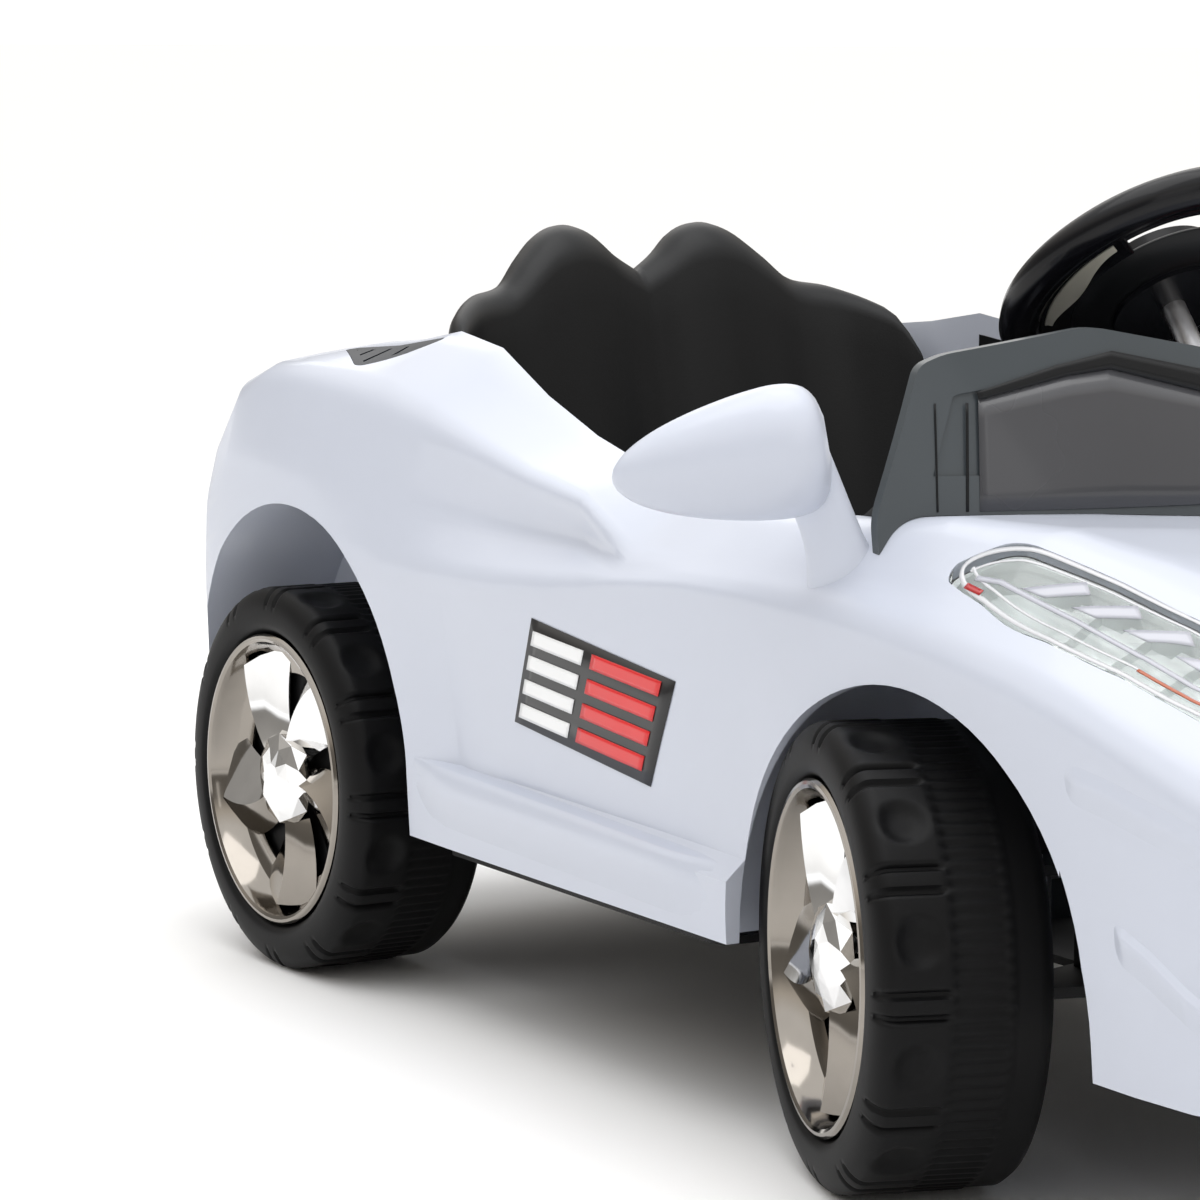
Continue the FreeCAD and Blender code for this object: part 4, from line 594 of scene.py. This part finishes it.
def add_wheels():
    """Moulded wheels with block, dimple and rib tread, all four from the same points."""
    radius, half_width = wheel_sizes("rear_wheel_right")
    rim = wheel_sizes("rear_hubcap_right")[0] + rim_gap
    rows = wheel_section(radius, half_width, rim)
    steps = block_count * steps_per_block
    points = []
    for turn in turns(steps):
        for offset, reach, treaded in rows:
            depth = tread_relief(offset, turn, radius) if treaded else 0
            points.append(polar(reach - depth, turn, offset))
    faces = grid(steps, len(rows), ring=True, loop=True)
    for end, word, place in each_wheel():
        piece = add_piece(f"{end}_tyre_{word}", points, faces, wheel_black)
        piece.data.transform(place)
        split_sharp(piece, tyre_sharp)
        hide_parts(f"{end}_wheel_{word}")
        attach(piece, f"{end}_{word}")


# Hub caps
def blade_point(s, t, turn, end, floor):
    """Point on a twisted blade: s runs out along it, t across it, from its low edge over a ridge."""
    radius = blade_root + (end - blade_root) * s
    half = math.radians(blade_half_degrees - blade_taper_degrees * s)
    angle = turn + blade_lean * s ** blade_lean_power + (2 * t - 1) * half
    low = floor + blade_low
    crest = floor + blade_crest * (blade_root_crest + (1 - blade_root_crest) * s)
    share = t / blade_ridge if t < blade_ridge else (1 - t) / (1 - blade_ridge)
    return polar(radius, angle, low + (crest - low) * share)


def blade_mesh(rim, face):
    """Points and faces of the twisted blades, and which faces lie past the ridge."""
    wide = len(blade_marks)
    points = []
    faces = []
    for turn in turns(blade_count):
        faces += grid(blade_steps + 1, wide, len(points))
        points += [blade_point(i / blade_steps, t, first_blade + turn, rim - blade_end_inset, face - blade_floor)
                   for i in range(blade_steps + 1) for t in blade_marks]
    past = [t >= blade_ridge for t in blade_marks[:-1]] * blade_steps * blade_count
    return points, faces, past


def middle_mesh(face):
    """Points and faces of the faceted middle, whose rows are turned by half a side against each other."""
    points = []
    faces = []
    for i, (radius, depth) in enumerate(middle_rows):
        for j in range(middle_sides):
            points.append(polar(radius, 2 * math.pi * (j + 0.5 * (i % 2)) / middle_sides, face - depth))
    for i in range(len(middle_rows) - 1):
        here, there = i * middle_sides, (i + 1) * middle_sides
        for j in range(middle_sides):
            step = j + i % 2
            a, b = here + j, here + (j + 1) % middle_sides
            c, d = there + step % middle_sides, there + (step - 1) % middle_sides
            faces += [(a, b, c), (a, c, d)]
    tip = len(points)
    last = tip - middle_sides
    points.append((0, 0, face - middle_tip))
    faces += [(last + j, last + (j + 1) % middle_sides, tip) for j in range(middle_sides)]
    return points, faces


def add_hubcaps():
    """Bright caps: rolled lip and dish, five twisted blades with open gaps between them, and a faceted middle."""
    rim, face = wheel_sizes("rear_hubcap_right")
    dish_points = [polar(rim - inset, turn, face - depth)
                   for turn in turns(cap_columns) for inset, depth in cap_rows]
    dish_faces = grid(cap_columns, len(cap_rows), loop=True)
    blade_points, blade_faces, past_ridge = blade_mesh(rim, face)
    middle_points, middle_faces = middle_mesh(face)
    for end, word, place in each_wheel():
        # The dish is made in the darker chrome copy: painted reflection of dark ground
        dish = add_piece(f"{end}_cap_{word}", dish_points, dish_faces, chrome_painted_shade)
        blades = add_piece(f"{end}_cap_blades_{word}", blade_points, blade_faces, chrome)
        # Facets past each blade's ridge take the darker chrome copy: painted shade on the blade's far side
        blades.data.materials.append(chrome_painted_shade)
        blades.data.polygons.foreach_set("material_index", [int(dark) for dark in past_ridge])
        middle = add_piece(f"{end}_cap_middle_{word}", middle_points, middle_faces, chrome, smooth=False)
        for piece in (dish, blades, middle):
            piece.data.transform(place)
            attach(piece, f"{end}_{word}")
        for piece in (dish, blades):
            thicken(piece, cap_wall, -1)
            split_sharp(piece, cap_sharp)
        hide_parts(f"{end}_hubcap_{word}")


# Sheets laid on the solids
def skin_of(*names):
    """Search tree over the faces of some solids."""
    points = []
    faces = []
    for name in names:
        mesh = nodes[name].data
        first = len(points)
        points += [vertex.co.copy() for vertex in mesh.vertices]
        faces += [tuple(first + i for i in face.vertices) for face in mesh.polygons]
    return BVHTree.FromPolygons(points, faces)


def lay_sheet(name, skin, near, far, start, heading, look, lift, across=4):
    """Thin sheet between two lines of points, dropped along a heading until it lies just above the skin.

    A point that would drop past the skin is first drawn in towards the middle of the far line.
    """
    middle = sum(far, Vector((0, 0))) / len(far)
    points = []
    for low, high in zip(near, far):
        for j in range(across + 1):
            place = low.lerp(high, j / across)
            hit = skin.ray_cast(start(place), heading)[0]
            while hit is None:
                place = place.lerp(middle, sheet_draw_in)
                hit = skin.ray_cast(start(place), heading)[0]
            points.append(hit - heading * lift)
    piece = add_piece(name, points, grid(len(near), across + 1), look)
    thicken(piece, lift / 2)
    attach(piece, "chassis")


def along(corners, steps):
    """Points at even steps along each side of an open line of corners."""
    line = []
    for a, b in zip(corners, corners[1:]):
        line += [Vector(a).lerp(Vector(b), i / steps) for i in range(steps)]
    return line + [Vector(corners[-1])]


def smooth_loop(corners, steps):
    """Closed line that runs smoothly near its corners."""
    count = len(corners)
    line = []
    for i in range(count):
        a, b, c = (Vector(corners[(i + k) % count]) for k in range(3))
        for j in range(steps):
            t = j / steps
            line.append(((a + b) / 2) * (1 - t) ** 2 + b * (2 * t * (1 - t)) + ((b + c) / 2) * t ** 2)
    return line + line[:1]


def shrunk(line, inset):
    """Closed line moved inwards by an inset."""
    middle = sum(line[:-1], Vector((0, 0))) / (len(line) - 1)
    moved = []
    for i in range(len(line) - 1):
        heading = line[(i + 1) % (len(line) - 1)] - line[i - 1]
        inward = Vector((-heading.y, heading.x)).normalized()
        if inward.dot(middle - line[i]) < 0:
            inward = -inward
        moved.append(line[i] + inward * inset)
    return moved + moved[:1]


# Door decal
def add_bar(name, skin, corners, look, side, lift):
    """Four-cornered sheet on the body's side, from corners in shares of the decal's box."""
    size = decal_high - decal_low

    def start(share):
        return Vector((decal_low.x + share.x * size.x, side, decal_low.z + share.y * size.z))

    lay_sheet(name, skin, along(corners[:2], decal_steps), along(corners[3:1:-1], decal_steps), start,
              Vector((0, -side, 0)), look, lift)


def add_decals():
    """Slanted speed bars in black, white and red on both doors."""
    skin = skin_of("body_shell")
    up = Vector((bar_slant, bar_height))
    for word, side in sides:
        add_bar(f"decal_back_{word}", skin, decal_back, decal_black, side, sheet_lift)
        for i in range(bar_rows):
            for colour, ends, look in (("white", white_bar, decal_white), ("red", red_bar, decal_red)):
                rear, front = (end + bar_shift * i for end in ends)
                add_bar(f"decal_{colour}_{word}_{i}", skin, [rear, front, front + up, rear + up], look, side,
                        2 * sheet_lift)


# Headlamps
def lamp_start(place):
    """Point high over a place in plan."""
    return Vector((place.x, place.y, above_car))


def add_lamp_edges():
    """Double edge round each headlamp, stepped bars inside it, a small red marker and an amber line."""
    down = Vector((0, 0, -1))
    lines = (("step", lamp_step, lamp_step_width, lamp_bar), ("marker", lamp_marker, lamp_marker_width, red_lens),
             ("glow", lamp_glow, lamp_glow_width, amber))
    for word, side in sides:
        skin = skin_of("body_shell", f"headlamp_lens_{word}")
        outline = smooth_loop([(x, side * y * body_half_width) for x, y in lamp_corners], lamp_steps)
        for name, outer, inner in lamp_edges:
            lay_sheet(f"lamp_{name}_{word}", skin, shrunk(outline, outer), shrunk(outline, inner), lamp_start, down,
                      lamp_edge, sheet_lift, across=2)
        for i in range(lamp_bar_count):
            shift = Vector((lamp_bar_shift[0] * i, lamp_bar_shift[1] * i * side))
            corners = [Vector((x, side * y)) + shift for x, y in lamp_bar_corners]
            lay_sheet(f"lamp_bar_{word}_{i}", skin, along(corners[:2], lamp_steps),
                      along(corners[3:1:-1], lamp_steps), lamp_start, down, lamp_bar, sheet_lift, across=3)
        for name, line, width, look in lines:
            near = along([(x, side * y) for x, y in line], lamp_line_steps)
            far = [point - Vector((0, side * width)) for point in near]
            lay_sheet(f"lamp_{name}_{word}", skin, near, far, lamp_start, down, look, 2 * sheet_lift, across=2)


# Windscreen panel
def screen_point(across, height, lift):
    """Point in front of the windscreen's swept and bowed face."""
    share = (height - screen_low) / (screen_high - screen_low)
    ahead = screen_foot_x + (screen_top_x - screen_foot_x) * share
    bow = screen_foot_bow + (screen_top_bow - screen_foot_bow) * share
    return Vector((ahead - bow * (across / screen_half_width) ** 2 + lift, across, height))


def add_screen_sheet(name, upper, lower, look, lift, rows):
    """Bowed sheet between an upper and a lower line of points across and up the windscreen."""
    points = [screen_point(*top.lerp(foot, j / rows), lift)
              for top, foot in zip(upper, lower) for j in range(rows + 1)]
    sheet = add_piece(name, points, grid(len(upper), rows + 1), look)
    thicken(sheet, sheet_lift)
    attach(sheet, "chassis")


def both_halves(line):
    """Line across the whole windscreen from its left half."""
    return [(-y, z) for y, z in line[:0:-1]] + list(line)


def add_screen_panel():
    """Smooth panel with a black sheet of painted shadow in the step under its double gable, and two grooves beside
    each end.
    """
    upper = along(both_halves(screen_step_top), screen_steps)
    lower = along(both_halves(screen_step_foot), screen_steps)
    foot = along([(y * screen_panel_flare, screen_panel_low) for y, z in both_halves(screen_step_foot)],
                 screen_steps)
    add_screen_sheet("screen_panel", lower, foot, screen_panel, screen_panel_lift, rows=6)
    # Black band over the step: painted shadow of the recess round the panel
    add_screen_sheet("screen_step_shadow", upper, lower, satin_black, screen_step_lift, rows=3)
    for word, side in sides:
        for name, top_y, foot_y, width in screen_grooves:
            edge = along([(side * top_y, screen_groove_top), (side * foot_y, screen_panel_low)], screen_steps)
            far = [point + Vector((side * width, 0)) for point in edge]
            add_screen_sheet(f"screen_groove_{name}_{word}", edge, far, satin_black, screen_panel_lift, rows=1)


# Pressed lines of the body
def add_pressed_lines():
    """Ledge along the sill and two creases on each side of the nose, pressed out of the body's skin."""
    skin = skin_of("body_shell")
    for word, side in sides:
        heading = Vector((0, -side, 0))
        for name, line, rise, fall, height in pressed_lines:
            path = along(line, pressed_steps)
            points = []
            for i, place in enumerate(path):
                share = i / (len(path) - 1)
                fade = soft_step(share * pressed_fade) * soft_step((1 - share) * pressed_fade)
                for width_share, height_share in pressed_profile:
                    offset = width_share * (rise if width_share > 0 else fall)
                    hit = skin.ray_cast(Vector((place.x, side, place.y + offset)), heading)[0]
                    points.append(hit - heading * (height * height_share * fade - pressed_sink))
            ridge = add_piece(f"{name}_{word}", points, grid(len(path), len(pressed_profile)), white)
            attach(ridge, "chassis")


# Steering wheel
def steering_point(radius, turn, rise):
    """Point on the steering wheel from its radius, its turn from the top and its rise towards the driver."""
    joint = joints["steering_turn"]
    normal = Vector(joint["axis"])
    left = Vector((0, 1, 0))
    top = left.cross(normal)
    angle = math.radians(turn + steering_rest)
    return Vector(joint["pos_m"]) + (top * math.cos(angle) + left * math.sin(angle)) * radius + normal * rise


def add_steering_ring(name, section, first, last, steps, look, wall):
    """Curved plate round the steering axis between two turns, from a section as a function of the turn."""
    points = []
    for i in range(steps + 1):
        turn = first + (last - first) * i / steps
        points += [steering_point(radius, turn, rise) for radius, rise in section(turn)]
    piece = add_piece(name, points, grid(steps + 1, len(section(first))), look)
    thicken(piece, wall)
    edge = piece.modifiers.new("edge", "BEVEL")
    edge.width = wall / 4
    edge.segments = 2
    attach(piece, "steering")


def bright_rows(turn):
    """Section of a bright blade, which swells and tapers along its turn."""
    share = (abs(turn) - bright_turns[0]) / (bright_turns[1] - bright_turns[0])
    swell = soft_step(share / bright_growth) * soft_step((bright_end - share) / bright_decline)
    width = bright_narrow + bright_swell * swell
    return [(bright_radius - width * inward, rise) for inward, rise in bright_section]


def add_steering_trim():
    """Dished cover round the boss, flange of the rim, broad side spokes and a tapering bright blade on each."""
    add_steering_ring("steering_dish", lambda turn: dish_section, *full_turn, ring_steps, satin_black, dish_wall)
    add_steering_ring("rim_flange", lambda turn: flange_section, *full_turn, ring_steps, gloss_black, flange_wall)
    for word, side in sides:
        add_steering_ring(f"broad_spoke_{word}", lambda turn: spoke_section, *(side * turn for turn in spoke_turns),
                          spoke_steps, gloss_black, spoke_wall)
        add_steering_ring(f"bright_blade_{word}", bright_rows, *(side * turn for turn in bright_turns),
                          bright_steps, blade_grey, bright_wall)


# Seat and mirrors
def add_seat():
    """Moulded bucket: two-humped back whose wings come forward, dished cushion and front skirt."""
    slope = -seat_lean / (seat_top - seat_low)
    points = []
    for i in range(-seat_slices, seat_slices + 1):
        height, depth, forward = through(seat_rows, abs(i) / seat_slices)
        half = depth * seat_depth / 2
        bend = height * seat_top - half
        foot_x = seat_foot_x + forward * seat_reach
        front = [(half, seat_low + (bend - seat_low) * j / (seat_side_steps - 1)) for j in range(seat_side_steps)]
        top = [(half * math.cos(math.pi * j / seat_top_steps), bend + half * math.sin(math.pi * j / seat_top_steps))
               for j in range(1, seat_top_steps)]
        section = front + top + [(-across, z) for across, z in front[::-1]]
        points += [Vector((foot_x + across + slope * (z - seat_low), i / seat_slices * seat_half_width, z))
                   for across, z in section]
    faces = tube(2 * seat_slices + 1, len(section))
    faces += tube(cushion_slices + 1, len(cushion_rows), len(points))
    for i in range(cushion_slices + 1):
        share = 2 * i / cushion_slices - 1
        dip = cushion_dip * (1 - share * share)
        points += [Vector((x, share * cushion_half_width, z - dip * dished)) for x, z, dished in cushion_rows]
    bucket = add_piece("seat_bucket", points, faces, satin_black)
    split_sharp(bucket, seat_sharp)
    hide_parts("seat")
    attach(bucket, "chassis")


def add_mirrors():
    """Wing-shaped mirror heads on broad stalks that grow out of the fenders."""
    line = mirror_tip - mirror_root
    ahead = line.normalized()
    back = Vector((ahead.y, -ahead.x, 0)).normalized()
    up = back.cross(ahead)
    points = []
    for i in range(mirror_steps + 1):
        share = (1 - math.cos(math.pi * i / mirror_steps)) / 2
        size = through(mirror_rows, share)[0]
        for turn in turns(mirror_around):
            depth = min(mirror_half_depth * size * math.cos(turn), mirror_back)
            height = mirror_half_height * size * math.sin(turn)
            points.append(mirror_root + line * share + back * depth + up * height)
    faces = tube(mirror_steps + 1, mirror_around)
    faces += tube(stalk_steps + 1, mirror_around, len(points))
    neck = mirror_root + line * neck_share
    swing = Matrix.Rotation(stalk_turn, 3, "Z")
    for i in range(stalk_steps + 1):
        share = i / stalk_steps
        size = stalk_waist + stalk_flare * (1 - soft_step(share * stalk_flare_rate)) ** 2
        for turn in turns(mirror_around):
            rim = Vector((stalk_length * size * math.cos(turn), stalk_width * size * math.sin(turn), 0))
            points.append(stalk_foot.lerp(neck, share) + swing @ rim)
    for word, side in sides:
        mirrored = [(point.x, -side * point.y, point.z) for point in points]
        housing = add_piece(f"mirror_{word}", mirrored, faces, white)
        split_sharp(housing, mirror_sharp)
        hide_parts(f"mirror_housing_{word}")
        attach(housing, "chassis")


# Stage
def look_at(place, aim, roll):
    """Turn that points -Z at the aim, with Y up, rolled about the view."""
    turn = (aim - place).to_track_quat("-Z", "Y").to_matrix().to_4x4()
    return Matrix.Translation(place) @ turn @ Matrix.Rotation(roll, 4, "Z")


def softbox(name, place, aim, size, power):
    """Rectangular area light aimed at a point."""
    data = bpy.data.lights.new(name, "AREA")
    data.shape = "RECTANGLE"
    data.size, data.size_y = size
    data.energy = power
    lamp = bpy.data.objects.new(name, data)
    lamp.matrix_world = look_at(Vector(place), Vector(aim), 0)
    bpy.context.scene.collection.objects.link(lamp)


def surroundings():
    """Bright sky over a darker band above the horizon, for the plated parts to mirror."""
    world = bpy.data.worlds.new("studio")
    world.use_nodes = True
    tree = world.node_tree
    place = tree.nodes.new("ShaderNodeTexCoord")
    split = tree.nodes.new("ShaderNodeSeparateXYZ")
    ramp = tree.nodes.new("ShaderNodeValToRGB")
    tree.links.new(place.outputs["Generated"], split.inputs["Vector"])
    tree.links.new(split.outputs["Z"], ramp.inputs["Fac"])
    stops = ramp.color_ramp.elements
    stops[0].position = sky_foot
    stops[0].color = (sky_foot_shade, sky_foot_shade, sky_foot_shade, 1)
    stops[1].position = sky_top
    stops[1].color = (1, 1, 1, 1)
    for position, shade in sky_band:
        stop = stops.new(position)
        stop.color = (*(shade * share for share in sky_warmth), 1)
    background = tree.nodes["Background"]
    tree.links.new(ramp.outputs["Color"], background.inputs["Color"])
    background.inputs["Strength"].default_value = sky_strength
    bpy.context.scene.world = world


def stage():
    """Pale floor, soft lights, surroundings and the camera."""
    corners = [(x * floor_reach, y * floor_reach, 0) for x, y in ((-1, -1), (1, -1), (1, 1), (-1, 1))]
    floor_mesh = bpy.data.meshes.new("floor")
    floor_mesh.from_pydata(corners, [], [(0, 1, 2, 3)])
    floor = bpy.data.objects.new("floor", floor_mesh)
    floor_look, tree, shader = material("floor_pale", floor_shade, floor_roughness)
    gloss(tree, shader, noise(tree, floor_scale, detail=2), *floor_gloss)
    floor_mesh.materials.append(floor_look)
    bpy.context.scene.collection.objects.link(floor)
    surroundings()
    for light in lights:
        softbox(*light)
    data = bpy.data.cameras.new("camera")
    data.lens = camera_lens
    data.sensor_width = camera_sensor
    data.sensor_fit = "HORIZONTAL"
    camera = bpy.data.objects.new("camera", data)
    camera.matrix_world = look_at(camera_place, camera_aim, camera_roll)
    bpy.context.scene.collection.objects.link(camera)
    bpy.context.scene.camera = camera
    bpy.context.scene.view_settings.view_transform = "Standard"


dress_solids()
add_wheels()
add_hubcaps()
add_decals()
add_lamp_edges()
add_screen_panel()
add_pressed_lines()
add_steering_trim()
add_seat()
add_mirrors()
stage()
